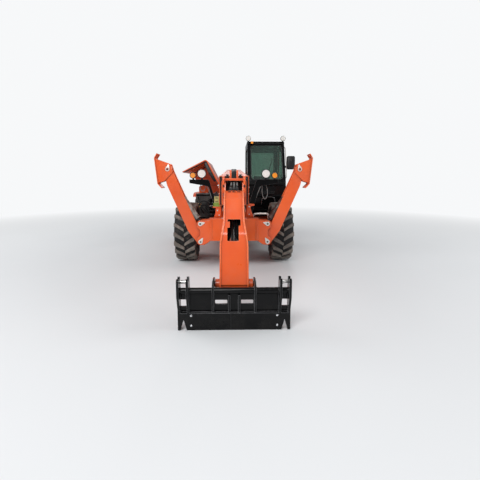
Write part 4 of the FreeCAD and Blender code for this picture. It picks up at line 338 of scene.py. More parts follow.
# %% [markdown]
# Glass, lenses and bare metal. The cab's panes are tinted green: a thin clear sheet would need the
# light to pass twice, so a Principled shader with transmission and a tint is enough. Chrome and
# bright steel get fine scratches along the rod and a little grease.

# %% Glass and metal
def glass(name, colour, rough, clear):
    finish = Finish(name)
    film = finish.ramp(finish.noise(7, 5, 0.6), 0.4, 0.8, rough, rough + 0.12)
    finish.link(film, finish.shader.inputs["Roughness"])
    tint = finish.mix(finish.ramp(finish.noise(2.5, 3), 0.3, 0.8, 0.0, 0.35), colour, DUST)
    finish.link(tint, finish.shader.inputs["Base Color"])
    finish.set(Transmission_Weight=clear, IOR=1.45)
    return finish.material


def bare_metal(name, colour, rough, metallic, grease):
    finish = Finish(name)
    stain = finish.ramp(finish.noise(16, 5, 0.6), 0.55, 0.8, 0.0, grease)
    finish.link(finish.mix(stain, colour, (0.10, 0.085, 0.07)), finish.shader.inputs["Base Color"])
    finish.link(finish.ramp(finish.noise(60, 3), 0.3, 0.7, rough, rough + 0.12),
                finish.shader.inputs["Roughness"])
    finish.set(Metallic=metallic)
    finish.bump(finish.noise(300, 2), 0.08, 0.001, rounding=0.002)
    return finish.material


cab_glass = glass("cab_glass", (0.205, 0.345, 0.285), 0.03, 0.92)
lamp_lens = glass("lamp_lens", (0.96, 0.95, 0.90), 0.12, 0.12)
amber_lens = glass("amber_lens", (1.0, 0.34, 0.008), 0.14, 0.0)
chromed_rod = bare_metal("chromed_rod", (0.78, 0.78, 0.80), 0.08, 1.0, 0.3)
pin_steel = bare_metal("pin_steel", (0.58, 0.57, 0.55), 0.28, 1.0, 0.4)
cylinder_paint = painted_steel("cylinder_paint", (0.030, 0.027, 0.025), (0.018, 0.016, 0.015), 0.35, 0.4,
                               0.02, (0.2, 0.18, 0.16))
print("materials:", len(bpy.data.materials))

# %% [markdown]
# Every CAD node keeps its shape and gets the finish that its record names.

# %% Finishes on the CAD nodes
FINISHES = {"orange_paint": orange_paint, "rim_paint": rim_paint, "black_paint": black_paint,
            "dark_iron": dark_iron, "tyre_rubber": tyre_rubber, "seat_vinyl": seat_vinyl,
            "cab_glass": cab_glass, "lamp_lens": lamp_lens, "amber_lens": amber_lens,
            "chromed_rod": chromed_rod, "pin_steel": pin_steel, "cylinder_paint": cylinder_paint}
for subpart in frame["record"]["subparts"]:
    mesh = nodes[subpart["node"]].data
    mesh.materials.clear()
    mesh.materials.append(FINISHES[subpart["material_slot"]])
print("nodes painted:", len(nodes))

# %% [markdown]
# Every piece below starts from a primitive that is shaped in edit mode. The steps that come back each
# time are small helpers: clear the selection, take one piece, draw an outline and pull it to a
# plate, turn a profile into a round piece, and settle a finished piece so that its object sits at
# the origin with its place in its mesh, as the CAD nodes do.

# %% Modelling helpers
def clear_selection():
    if bpy.context.object and bpy.context.object.mode == "EDIT":
        bpy.ops.object.mode_set(mode="OBJECT")
    bpy.ops.object.select_all(action="DESELECT")


def take(*pieces):
    clear_selection()
    for piece in pieces:
        piece.select_set(True)
    bpy.context.view_layer.objects.active = pieces[0]
    return pieces[0]


def settle(piece):
    take(piece)
    bpy.ops.object.transform_apply(location=True, rotation=True, scale=True)
    return piece


def new_piece(name):
    piece = bpy.context.object
    piece.name = name
    return settle(piece)


def apply_modifier(piece, kind, **values):
    take(piece)
    modifier = piece.modifiers.new(kind.lower(), kind)
    for key, value in values.items():
        setattr(modifier, key, value)
    bpy.ops.object.modifier_apply(modifier=modifier.name)
    return piece


def round_edges(piece, width, segments=2, sharper_than=35):
    if not width:
        return piece
    return apply_modifier(piece, "BEVEL", width=width, segments=segments, limit_method="ANGLE",
                          angle_limit=math.radians(sharper_than), use_clamp_overlap=True)


MERGE_DISTANCE = 0.00005


def outwards(piece):
    """Merges doubles and turns every face outwards."""
    take(piece)
    bpy.ops.object.mode_set(mode="EDIT")
    bpy.ops.mesh.select_all(action="SELECT")
    bpy.ops.mesh.remove_doubles(threshold=MERGE_DISTANCE)
    bpy.ops.mesh.normals_make_consistent(inside=False)
    bpy.ops.object.mode_set(mode="OBJECT")
    return piece


# %% Plates, boxes and round pieces
FACING = {"side": (0, 1, 2), "front": (1, 0, 2), "top": (2, 0, 1)}


def plate(name, plane, start, end, corners, rounding=0.002, segments=2):
    """A flat outline pulled from start to end along the plane's normal."""
    clear_selection()
    bpy.ops.mesh.primitive_circle_add(vertices=len(corners), radius=1)
    piece = new_piece(name)
    along, first, second = FACING[plane]
    for vertex, corner in zip(piece.data.vertices, corners):
        vertex.co[along], vertex.co[first], vertex.co[second] = start, corner[0], corner[1]
    shift = [0, 0, 0]
    shift[along] = end - start
    bpy.ops.object.mode_set(mode="EDIT")
    bpy.ops.mesh.select_all(action="SELECT")
    bpy.ops.mesh.edge_face_add()
    bpy.ops.mesh.extrude_region_move(TRANSFORM_OT_translate={"value": shift})
    bpy.ops.object.mode_set(mode="OBJECT")
    outwards(piece)
    return round_edges(piece, rounding, segments)


def box(name, low, high, rounding=0.003, segments=2):
    corners = [(low[0], low[1]), (high[0], low[1]), (high[0], high[1]), (low[0], high[1])]
    return plate(name, "top", low[2], high[2], corners, rounding, segments)


def lathe(name, profile, axis="x", steps=48, centre=(0, 0, 0)):
    """A closed profile of (along, radius) corners spun once about an axis through the centre."""
    clear_selection()
    bpy.ops.mesh.primitive_circle_add(vertices=len(profile), radius=1)
    piece = new_piece(name)
    along = "xyz".index(axis)
    across = (along + 1) % 3
    for vertex, (place, radius) in zip(piece.data.vertices, profile):
        spot = [0, 0, 0]
        spot[along], spot[across] = place, radius
        vertex.co = [a + b for a, b in zip(spot, centre)]
    direction = [0, 0, 0]
    direction[along] = 1
    bpy.ops.object.mode_set(mode="EDIT")
    bpy.ops.mesh.select_all(action="SELECT")
    bpy.ops.mesh.spin(steps=steps, angle=2 * math.pi, center=centre, axis=direction)
    bpy.ops.object.mode_set(mode="OBJECT")
    return outwards(piece)


def sleeve(name, low, high, inner, outer, axis, steps, centre):
    """A tube from low to high along its axis; with six steps, a nut."""
    return lathe(name, [(low, inner), (low, outer), (high, outer), (high, inner)], axis, steps, centre)


def rod(name, start, end, radius, sides=20, rounding=0.0):
    start, end = Vector(start), Vector(end)
    clear_selection()
    bpy.ops.mesh.primitive_cylinder_add(vertices=sides, radius=radius, depth=(end - start).length,
                                        location=(start + end) / 2,
                                        rotation=(end - start).to_track_quat("Z", "Y").to_euler())
    piece = new_piece(name)
    return round_edges(piece, rounding)


def pipe(name, points, radius, sides=6, weights=3):
    """A round hose or bent tube: a smooth curve through a corridor of points, made a mesh."""
    curve = bpy.data.curves.new(name, "CURVE")
    curve.dimensions = "3D"
    curve.bevel_depth = radius
    curve.bevel_resolution = sides // 2
    curve.resolution_u = 8
    curve.use_fill_caps = True
    spline = curve.splines.new("NURBS")
    spline.points.add(len(points) - 1)
    for spot, point in zip(points, spline.points):
        point.co = (*spot, 1)
    spline.order_u = weights
    spline.use_endpoint_u = True
    piece = bpy.data.objects.new(name, curve)
    bpy.context.scene.collection.objects.link(piece)
    take(piece)
    bpy.ops.object.convert(target="MESH")
    return new_piece(name)


# %% Copies and joins
def moved_copy(piece, matrix):
    twin = piece.copy()
    twin.data = piece.data.copy()
    bpy.context.scene.collection.objects.link(twin)
    twin.data.transform(matrix)
    if matrix.determinant() < 0:
        twin.data.flip_normals()
    return twin


def joined(name, *pieces):
    take(*pieces)
    if len(pieces) > 1:
        bpy.ops.object.join()
    return new_piece(name)


def mirror_copy(piece, name):
    twin = moved_copy(piece, Matrix.Scale(-1, 4, (1, 0, 0)))
    twin.name = name
    return twin


# The record's slot for each finish that isn't named after one
SLOTS = {
    "hose_rubber": "black_paint", "zinc_plate": "pin_steel", "brass_fitting": "pin_steel",
    "sheen_grey_wire": "black_paint", "neck_shade": "black_paint", "highlight_orange": "orange_paint",
    "dull_tube": "black_paint", "rail_paint": "black_paint", "green_plastic": "amber_lens",
    "cream_plastic": "amber_lens", "red_lens": "amber_lens", "pale_paint": "lamp_lens",
    "mirror_glass": "chromed_rod",
}


def dress(piece, finish, body="chassis", slot=None, smooth=32):
    """Gives a piece its finish, its smooth shading and the CAD body that it rides on."""
    # Blender adds a number to a name that one of the CAD model's own materials has already
    usual = finish.name.split(".")[0]
    slot = slot or SLOTS.get(usual, usual)
    if not piece.data.materials:
        piece.data.materials.append(finish)
    take(piece)
    bpy.ops.object.shade_smooth_by_angle(angle=math.radians(smooth))
    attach(piece, body)
    return piece


def dress_all(name, pieces, finish, body="chassis", slot=None, smooth=32):
    """Joins pieces to one and dresses it."""
    return dress(joined(name, *pieces), finish, body, slot, smooth)


def dress_sides(piece, finish, left_body="chassis", right_body="chassis", smooth=32):
    """Dresses a left piece and its mirror copy on the right."""
    dress(piece, finish, left_body, smooth=smooth)
    dress(mirror_copy(piece, piece.name.replace("left", "right")), finish, right_body, smooth=smooth)


def disc(name, sides, radius, depth, height, rounding):
    """A short cylinder along Z with its middle at a height."""
    clear_selection()
    bpy.ops.mesh.primitive_cylinder_add(vertices=sides, radius=radius, depth=depth, location=(0, 0, height))
    return round_edges(new_piece(name), rounding, 1)


def bolts(name, places, facing, size, hidden=0.002):
    """Hex heads on washers, one at each place, all facing the same way; size is the washer's radius."""
    washer = disc("washer", 20, size, size * 0.22, size * 0.11 - hidden, size * 0.05)
    head = disc("head", 6, size * 0.8, size * 0.6, size * 0.5 - hidden, size * 0.08)
    master = joined("bolt", washer, head)
    turn = Vector(facing).to_track_quat("Z", "Y").to_matrix().to_4x4()
    copies = [moved_copy(master, Matrix.Translation(place) @ turn) for place in places]
    bpy.data.objects.remove(master)
    return joined(name, *copies)


print("helpers ready")

# %% [markdown]
# The tyres are the busiest shapes of the machine. A lug is modelled once on top of the wheel: an
# outline seen from above, pulled up to a bar, with its top drawn in and its outer end carried down
# over the shoulder. It is wrapped to the wheel's curve, then copied round in two rows half a pitch
# apart. The carcass is a spun profile. The CAD tyre is replaced and stays in the physics, hidden.

# %% Tyre sizes
TYRE_RADIUS = 0.5875
TYRE_CENTRE = 0.942
LUG_COUNT = 19
AXLES = {"front": -0.49, "rear": 2.46}
TREAD_HALF = 0.2
FLOOR_GAP = 0.0005
CROWN_FALL = 0.012
FOOT_RADIUS = 0.535
FOOT_FALL = 0.075
SHOULDER = 0.15
# Each corner of a lug's middle line: across the wheel, along its rim, and the lug's half width there
LUG_LINE = ((0.002, -0.046, 0.027), (0.060, -0.006, 0.031), (0.120, 0.030, 0.034), (0.168, 0.054, 0.037),
            (0.199, 0.064, 0.040))


def lug_top(across):
    """The tread's crown is nearly flat and falls away at the shoulder."""
    return TYRE_RADIUS - FLOOR_GAP - CROWN_FALL * max(0, across / TREAD_HALF) ** 4


def lug_foot(across):
    """Where a lug starts: inside the carcass, and lower beyond the shoulder."""
    if across < SHOULDER:
        return FOOT_RADIUS
    return FOOT_RADIUS - FOOT_FALL * ((across - SHOULDER) / 0.05) ** 1.3


# %% One lug
LUG_LOW, LUG_HIGH = 0.53, 0.58
TOP_DRAWN_IN, FOOT_SPREAD = 0.80, 1.12
END_FROM, END_DRAWN_IN = 0.19, 0.006


def model_lug():
    front_edge = [(x, y - half) for x, y, half in LUG_LINE]
    back_edge = [(x, y + half) for x, y, half in reversed(LUG_LINE)]
    lug = plate("lug", "top", LUG_LOW, LUG_HIGH, front_edge + back_edge, rounding=0)
    middle = {round(x, 4): y for x, y, _ in LUG_LINE}
    for vertex in lug.data.vertices:
        x, y, z = vertex.co
        on_top = z > (LUG_LOW + LUG_HIGH) / 2
        line = middle[round(x, 4)]
        along = line + (y - line) * (TOP_DRAWN_IN if on_top else FOOT_SPREAD)
        radius = lug_top(x) if on_top else lug_foot(x)
        if on_top and x > END_FROM:
            x -= END_DRAWN_IN
        vertex.co = (x, radius * math.sin(along / radius), radius * math.cos(along / radius))
    return round_edges(lug, 0.0045, 2, 25)


lug = model_lug()
print("lug faces", len(lug.data.polygons))

# %% The whole tyre
CARCASS = [(0.000, 0.549), (0.080, 0.548), (0.140, 0.543), (0.170, 0.533), (0.188, 0.512), (0.198, 0.482),
           (0.2035, 0.452), (0.2045, 0.425), (0.200, 0.398), (0.203, 0.392), (0.203, 0.384), (0.197, 0.380),
           (0.184, 0.358), (0.166, 0.346), (0.152, 0.340), (0.149, 0.330), (0.149, 0.306)]
full_profile = CARCASS + [(-x, r) for x, r in reversed(CARCASS[1:])]
carcass = lathe("carcass", full_profile, "x", 96)
carcass.data.materials.append(tyre_rubber)
lug.data.materials.append(dusty_tread)
rows = []
for row in range(2):
    side = Matrix.Scale(-1, 4, (1, 0, 0)) if row else Matrix.Identity(4)
    for i in range(LUG_COUNT):
        turn = Matrix.Rotation(-2 * math.pi * (i + row / 2) / LUG_COUNT, 4, "X")
        rows.append(moved_copy(lug, turn @ side))
bpy.data.objects.remove(lug)
tyre = joined("tyre_model", carcass, *rows)
print("tyre faces", len(tyre.data.polygons))


# %% Four tyres
def at_wheels(model, stem, finish, smooth=32):
    """Copies a model of the front left wheel to all four wheels, and gives each copy with its corner."""
    for end, along in AXLES.items():
        left = moved_copy(model, Matrix.Translation((TYRE_CENTRE, along, TYRE_RADIUS)))
        left.name = f"{stem}_{end}_left"
        right = mirror_copy(left, f"{stem}_{end}_right")
        for side, piece in (("left", left), ("right", right)):
            yield f"{end}_{side}", dress(piece, finish, f"{end}_{side}_wheel", smooth=smooth)
    bpy.data.objects.remove(model)


for corner, tread in at_wheels(tyre, "tread", tyre_rubber, 28):
    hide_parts(f"tyre_{corner}")
print("tyres placed")

# %% [markdown]
# A wheel is held by a ring of nuts on its disc, and its hub carries a second ring of small bolts.
# Plates and nuts are bare zinc, which is duller than chrome. A valve stem stands in the disc.

# %% Wheel nuts and valve stems
zinc_plate = bare_metal("zinc_plate", (0.80, 0.785, 0.74), 0.34, 0.55, 0.30)
brass_fitting = bare_metal("brass_fitting", (0.72, 0.50, 0.20), 0.25, 1.0, 0.3)


def ring_of(count, radius, along, phase=0.0):
    return [(along, radius * math.sin(2 * math.pi * (i + phase) / count),
             radius * math.cos(2 * math.pi * (i + phase) / count)) for i in range(count)]


nuts = bolts("nuts", ring_of(10, 0.218, 0.030), (1, 0, 0), 0.019)
caps = bolts("caps", ring_of(8, 0.125, 0.090), (1, 0, 0), 0.010)
stem = rod("stem", (0.028, 0, -0.262), (0.060, 0, -0.272), 0.006, 12, 0.001)
hub_set = joined("hub_set", nuts, caps, stem)
for corner, _ in at_wheels(hub_set, "wheel_nuts", zinc_plate):
    print("wheel nuts placed:", corner)

# %% [markdown]
# Each stabiliser pin is kept from turning by a teardrop plate of bare zinc: a disc over the pin's end
# with a tail that a bolt holds. An outline drawn from an arc and one far corner gives the drop. The
# tail points inwards on the ears and up the cheek on the pads. Each ear carries a doubler plate with
# a scooped edge, and a slanted strip leads from the beam's face up to it.

# %% Pin retainers
STABILISER_Y = -1.29
BEAM_FRONT = -1.40
EAR_X = 0.591
EAR_HEIGHTS = (0.536, 0.855)
DOUBLER_FACE = BEAM_FRONT - 0.014
PAD_FACE = STABILISER_Y - 0.080 - 0.005 - 0.012
ARM_LEAN = math.radians(23.6)
ARM_LENGTH = 1.386
PAD_X = EAR_X + ARM_LENGTH * math.sin(ARM_LEAN)
PAD_Z = EAR_HEIGHTS[0] + ARM_LENGTH * math.cos(ARM_LEAN)
ARC_STEPS = 14
DROP_RADIUS, DROP_REACH = 0.038, 0.070
TAIL_RADIUS = 0.013
BOLT_REACH = 0.060
PIN_END_RADIUS = 0.0165


def teardrop(name, x, z, direction, front, back):
    """A drop outline whose tail points along an angle, measured from +X towards +Z."""
    corners = []
    for i in range(ARC_STEPS + 1):
        a = direction + math.radians(70) + i * math.radians(220) / ARC_STEPS
        corners.append((x + DROP_RADIUS * math.cos(a), z + DROP_RADIUS * math.sin(a)))
    for step in (-0.5, 0.0, 0.5):
        a = direction + step
        corners.append((x + DROP_REACH * math.cos(direction) + TAIL_RADIUS * math.cos(a),
                        z + DROP_REACH * math.sin(direction) + TAIL_RADIUS * math.sin(a)))
    return plate(name, "front", back, front, corners, 0.0015)


def retainer(name, x, z, direction, face):
    """A drop plate on a pin's end, which shows in its middle, with a bolt in its tail."""
    drop = teardrop(name + "_drop", x, z, direction, face - 0.007, face + 0.001)
    drop.data.materials.append(zinc_plate)
    end = rod(name + "_end", (x, face + 0.002, z), (x, face - 0.013, z), PIN_END_RADIUS, 24, 0.002)
    end.data.materials.append(dark_iron)
    bolt_place = (x + BOLT_REACH * math.cos(direction), face - 0.006, z + BOLT_REACH * math.sin(direction))
    return joined(name, drop, end, bolts(name + "_bolt", [bolt_place], (0, -1, 0), 0.010))


left_ear = [retainer(f"ear_{i}", EAR_X, z, math.radians(180 - tilt), DOUBLER_FACE)
            for i, (z, tilt) in enumerate(zip(EAR_HEIGHTS, (60, 15)))]
ears = joined("ear_retainers_left", *left_ear)
dress_sides(ears, zinc_plate)
EAR_OUTLINE = ((0.432, 0.545, 0), (0.526, 0.484, 0.030), (0.645, 0.484, 0.048), (0.645, 0.598, 0.020),
               (0.592, 0.648, 0.060), (0.592, 0.743, 0.060), (0.645, 0.793, 0.020), (0.645, 0.908, 0.048),
               (0.512, 0.908, 0.036), (0.432, 0.918, 0))


def rounded_outline(corners, steps=6):
    """An outline whose corners, given as (x, z, radius), are rounded by short curves."""
    spots = []
    for i, (x, z, radius) in enumerate(corners):
        here = Vector((x, z))
        if not radius:
            spots.append((x, z))
            continue
        before = Vector(corners[i - 1][:2]) - here
        after = Vector(corners[(i + 1) % len(corners)][:2]) - here
        reach = min(radius, before.length * 0.45, after.length * 0.45)
        start, end = here + before.normalized() * reach, here + after.normalized() * reach
        for step in range(steps + 1):
            t = step / steps
            spots.append(tuple((1 - t) ** 2 * start + 2 * t * (1 - t) * here + t * t * end))
    return spots


doubler = plate("ear_doubler", "front", DOUBLER_FACE, BEAM_FRONT + 0.001, rounded_outline(EAR_OUTLINE),
                0.003)
ramp_strip = plate("ear_ramp", "top", 0.560, 0.924, [(0.400, BEAM_FRONT + 0.001),
                                                     (0.400, BEAM_FRONT - 0.0005), (0.433, DOUBLER_FACE),
                                                     (0.433, BEAM_FRONT + 0.001)], 0.0)
doublers = joined("ear_doublers_left", doubler, ramp_strip)
dress_sides(doublers, orange_paint, smooth=20)
pad_drop = retainer("pad_retainer_left", PAD_X, PAD_Z, math.radians(105), PAD_FACE)
dress_sides(pad_drop, zinc_plate, "stabiliser_foot_left", "stabiliser_foot_right")
print("retainers placed at", round(PAD_X, 3), round(PAD_Z, 3))

# %% [markdown]
# The tool carriage is black and glossy. Steel pins with a collar lie in the hooks at its top, four
# bright bolts hold the two face plates, and a seam runs between those.

# %% Carriage trim
CARRIAGE_FRONT = -3.6
CARRIAGE_HALF = 0.605
FACE_Y = CARRIAGE_FRONT + 0.055
HOOK_Y, HOOK_Z = CARRIAGE_FRONT + 0.078, 0.528
PIN_HALF = 0.037
hook_pins = []
for sign in (1, -1):
    middle = sign * (CARRIAGE_HALF - 0.0625)
    hook_pins.append(rod("hook_pin", (middle - PIN_HALF, HOOK_Y, HOOK_Z),
                         (middle + PIN_HALF, HOOK_Y, HOOK_Z), 0.0185, 28, 0.001))
    hook_pins.append(sleeve("hook_collar", -0.004, 0.004, 0.0175, 0.026, "x", 28,
                            (middle - sign * 0.026, HOOK_Y, HOOK_Z)))
dress_all("hook_pins", hook_pins, pin_steel, "tool_carriage")
spots = [(sign * 0.462, FACE_Y, height) for sign in (1, -1) for height in (0.052, 0.162)]
dress(bolts("face_bolts", spots, (0, -1, 0), 0.012), chromed_rod, "tool_carriage")
seam = box("face_seam", (-0.038, FACE_Y - 0.0015, 0.004), (-0.033, FACE_Y + 0.002, 0.184), 0.0006, 1)
dress(seam, hose_rubber, "tool_carriage")
print("carriage trim placed")

# %% [markdown]
# Where plates meet, a weld bead shows as a thin rippled ridge in the same paint. A bead is a bent tube
# along the joint, thin enough to read as a line from a step away.

# %% Weld beads
RIPPLE_HEIGHT = 0.0007
RIPPLES = 160.0


def bead(name, points, radius=0.0035):
    return pipe(name, points, radius, 6, 2)


def rippled(piece):
    """Small waves along a bead, each point pushed out by a wave of its own place."""
    for vertex in piece.data.vertices:
        x, y, z = vertex.co
        vertex.co += vertex.normal * RIPPLE_HEIGHT * math.sin(RIPPLES * (x + 1.3 * y + 0.7 * z))
    return piece


TUBE_RADIUS = 0.036
SHELF_Z = 0.1885
beads = []
for sign in (1, -1):
    for offset in (0.0, 0.100):
        near = sign * (CARRIAGE_HALF - offset - 0.026)
        ring = [(near, CARRIAGE_FRONT + 0.09 + TUBE_RADIUS * math.sin(a), 0.425 + TUBE_RADIUS * math.cos(a))
                for a in [i * 0.5 for i in range(13)]]
        beads.append(bead("tube_bead", ring))
for sign in (1, -1):
    for x in (sign * 0.0425, sign * 0.2175):
        beads.append(bead("clevis_bead", [(x, FACE_Y + 0.012, SHELF_Z),
                                          (x, CARRIAGE_FRONT + 0.112, SHELF_Z)]))
beads.append(bead("shelf_bead", [(-0.47, FACE_Y + 0.018, SHELF_Z), (0.47, FACE_Y + 0.018, SHELF_Z)]))
dress(rippled(joined("carriage_welds", *beads)), black_paint, "tool_carriage")
WELD_Y = BEAM_FRONT - 0.001
beads = []
for sign in (1, -1):
    for height in (0.552, 0.938):
        beads.append(bead("beam_bead", [(sign * 0.443, WELD_Y, height), (sign * 0.40, WELD_Y, height)]))
    beads.append(bead("ear_bead", [(sign * 0.381, WELD_Y, 0.572), (sign * 0.381, WELD_Y, 0.930)]))
dress(rippled(joined("beam_welds", *beads)), orange_paint)
print("welds placed")

# %% [markdown]
# The boom's head is where hoses leave the inner section. The side rails carry small square holes,
# and a row of short reliefs marks the top of the face plate; each opening is drawn as a black block,
# painted shade for its inside. Four hoses and three couplings lie in the black gap below the cross web.

# %% Boom head
HEAD_Y = -2.74
RAIL_X = 0.1345
# Black blocks in the rails' holes: painted shade inside them
hole_shades = []
for x in (RAIL_X, -RAIL_X):
    for y in (HEAD_Y + 0.075, HEAD_Y + 0.145):
        hole_shades.append(box("rail_hole", (x - 0.0145, y, 1.560), (x + 0.0145, y + 0.030, 1.592), 0.002,
                              1))
    hole_shades.append(box("rail_front_hole", (x - 0.009, HEAD_Y - 0.0005, 1.520),
                          (x + 0.009, HEAD_Y + 0.020, 1.545), 0.001, 1))
dress_all("head_hole_shades", hole_shades, hose_rubber, "boom_inner")
# Black bars at the reliefs: painted shade inside them
relief_shades = [box("relief_shade", (x - 0.021, -2.7600, 1.4560), (x + 0.021, -2.7400, 1.4650), 0.002)
           for x in (-0.06, 0.0, 0.06)]
dress_all("head_relief_shades", relief_shades, hose_rubber, "boom_inner")

# %% Hoses at the head
head_hoses = []
for x, height, lead in ((-0.052, 1.505, 0.00), (-0.030, 1.512, 0.01), (0.030, 1.512, 0.015),
                        (0.052, 1.505, 0.0)):
    head_hoses.append(pipe("head_hose", [(x, -2.46, 1.52), (x, -2.58, 1.545),
                                         (x, -2.66 - lead, height + 0.02), (x, -2.70, height - 0.02),
                                         (x * 0.9, -2.70, 1.40), (x * 0.9, -2.74, 1.26)], 0.0105))
dress_all("head_hoses", head_hoses, hose_rubber, "boom_inner")
COUPLING_Z = 1.500
fittings = []
for x in (-0.041, 0.0, 0.041):
    fittings.append(rod("coupling", (x, -2.52, COUPLING_Z), (x, -2.690, COUPLING_Z), 0.017, 24, 0.003))
    fittings.append(rod("coupling_nut", (x, -2.665, COUPLING_Z), (x, -2.695, COUPLING_Z), 0.0205, 6, 0.001))
dress_all("head_couplings", fittings, dark_iron, "boom_inner")
print("boom head dressed")

# %% [markdown]
# The outer boom section ends in a collar that stiffens its mouth: a frame of four bars mitred at the
# corners, with bolt heads that set the wear pads. Black seal rings close the gaps to the next sections
# and cover the middle section's mouth, dark as painted shade for those gaps.

# %% Boom collars
SLOPE = math.radians(3.38)
PIVOT = Vector((0, 2.85, 1.75))


def on_boom(piece):
    """From the boom's own frame, with its pivot at zero, to its place on the machine."""
    piece.data.transform(Matrix.Translation(PIVOT) @ Matrix.Rotation(SLOPE, 4, "X"))
    return piece


def collar(name, half_width, half_height, front, back, proud):
    bars = []
    for turn, (a, b) in ((0, (half_width, half_height)), (1, (half_height, half_width))):
        outer, inner = a + proud, a
        reach, near = b + proud, b
        for sign in (1, -1):
            corners = [(sign * inner, -near), (sign * outer, -reach), (sign * outer, reach),
                       (sign * inner, near)]
            if turn:
                corners = [(z, x) for x, z in corners]
            bars.append(plate("collar_bar", "front", front, back, corners, 0.002))
    return joined(name, *bars)


outer_collar = collar("outer_collar", 0.220, 0.217, -4.991, -4.940, 0.004)
pad_bolts = []
for sign in (1, -1):
    pad_bolts.append(bolts("pad_bolts", [(sign * 0.224, -4.965, z) for z in (-0.05, 0.05)], (sign, 0, 0),
                           0.011))
    pad_bolts.append(bolts("cap_bolts", [(x, -4.965, sign * 0.221) for x in (-0.06, 0.06)], (0, 0, sign),
                           0.011))
dress(on_boom(outer_collar), orange_paint, "boom_outer")
dress(on_boom(joined("collar_bolts", *pad_bolts)), zinc_plate, "boom_outer")
# Black rings across the gaps between sections: seals, dark as painted shade for those gaps
outer_seal = collar("outer_seal", 0.1985, 0.1955, -4.997, -4.989, 0.013)
dress(on_boom(outer_seal), hose_rubber, "boom_outer")
middle_seal = collar("middle_seal", 0.1765, 0.1735, -5.077, -5.069, 0.0185)
dress(on_boom(middle_seal), hose_rubber, "boom_middle")
print("collars placed")

# %% [markdown]
# The boom's tail is closed by a bolted cover with a grommet, through which a pair of hoses reaches the
# frame. From behind, this is the first thing that is seen.

# %% Boom tail cover
tail = plate("tail_cover", "front", 0.150, 0.154, [(-0.214, -0.211), (0.214, -0.211), (0.214, 0.211),
                                                   (-0.214, 0.211)], 0.0015)
take(tail)
bpy.ops.object.mode_set(mode="EDIT")
bpy.ops.mesh.select_all(action="DESELECT")
bpy.ops.object.mode_set(mode="OBJECT")
outer_face = max(tail.data.polygons, key=lambda face: face.center.y * 10 + face.area)
outer_face.select = True
bpy.ops.object.mode_set(mode="EDIT")
bpy.ops.mesh.select_mode(type="FACE")
bpy.ops.mesh.inset(thickness=0.045, depth=0)
bpy.ops.mesh.inset(thickness=0.008, depth=0.006)
bpy.ops.object.mode_set(mode="OBJECT")
grommets = [lathe("grommet", [(0.152, 0.024), (0.152, 0.040), (0.164, 0.036), (0.168, 0.030),
                              (0.168, 0.024)], "y", 32, (x, 0, -0.075)) for x in (-0.07, 0.07)]
dress(on_boom(tail), black_paint, "boom_outer")
dress(on_boom(joined("tail_grommets", *grommets)), hose_rubber, "boom_outer")
around = [(x, 0.154, z) for x in (-0.19, 0.0, 0.19) for z in (-0.187, 0.187)]
dress(on_boom(bolts("tail_bolts", around, (0, 1, 0), 0.010)), zinc_plate, "boom_outer")
print("tail closed")

# %% [markdown]
# Each lamp has a dark rim, which is a spun ring, and a lens moulded in vertical ribs: the CAD lens is a
# plain disc, and thin bars across it stand in for the ribs.

# %% Lamp rims and lenses
LAMP_Y = -1.13
# Kind, place across, height, radius, depth ahead of the stand, and number of ribs
LAMPS = (("head", 0.580, 1.735, 0.078, 0.050, 9), ("signal", 0.740, 1.705, 0.055, 0.044, 6))
RIM = ((0.020, -0.003), (0.020, 0.002), (0.000, 0.002), (-0.006, -0.002), (-0.004, -0.008), (0.002, -0.009))
RIB_HALF = 0.0018
rims, ribs = [], {"head": [], "signal": []}
for kind, half, height, radius, depth, count in LAMPS:
    front = LAMP_Y - depth
    for middle in (half, -half):
        rims.append(lathe("lamp_rim", [(along, radius + out) for along, out in RIM], "y", 48,
                          (middle, front, height)))
        for i in range(count):
            x = (i - (count - 1) / 2) * 2 * (radius - 0.020) / (count - 1)
            tall = math.sqrt((radius - 0.013) ** 2 - x * x)
            ribs[kind].append(box("lens_rib", (middle + x - RIB_HALF, front - 0.0012, height - tall),
                                  (middle + x + RIB_HALF, front + 0.001, height + tall), 0.001, 1))
dress_all("lamp_rims", rims, black_paint)
dress_all("lens_ribs", ribs["head"], lamp_lens)
dress_all("signal_ribs", ribs["signal"], amber_lens)
print("lamps dressed")

# %% [markdown]
# A lamp's wires hang below it in a loop and run back down the post. Both ends are fixed, so it is a
# bent pipe and not a free cord.

# %% Lamp wires
wires = []
for sign, drop in ((1, 0.36), (-1, 0.20)):
    x = sign * 0.58
    wires.append(pipe("lamp_wire", [(x, -1.070, 1.735), (x, -1.030, 1.735), (x - sign * 0.01, -1.02, 1.62),
                                    (x + sign * 0.06, -1.05, 1.60 - drop * 0.6), (x, -1.05, 1.60 - drop),
                                    (x - sign * 0.06, -1.05, 1.60 - drop * 0.7),
                                    (x - sign * 0.06, -1.095, 1.56), (x - sign * 0.12, -1.112, 1.45),
                                    (x - sign * 0.20, -1.112, 1.22)], 0.006))
# The black wires are painted grey: a painted sheen along them
sheen_grey_wire = rubber("sheen_grey_wire", (0.20, 0.20, 0.195), SOIL, 0.2, 0.35)
dress_all("lamp_wires", wires, sheen_grey_wire)
print("wires placed")

# %% [markdown]
# Behind the neck's window lie hose guards and a bundle of hoses. They stand ahead of the tilt
# cylinder, which swings freely behind them, and are painted a near black with little shine: painted
# shade for the inside of the neck.

# %% Hoses inside the neck
GUARD = ((0.052, 0.79), (0.104, 0.79), (0.104, 1.21), (0.060, 1.21), (0.052, 1.16))
guards = [plate("neck_guard", "front", -3.000, -2.992, [(sign * x, z) for x, z in GUARD], 0.0015)
          for sign in (1, -1)]
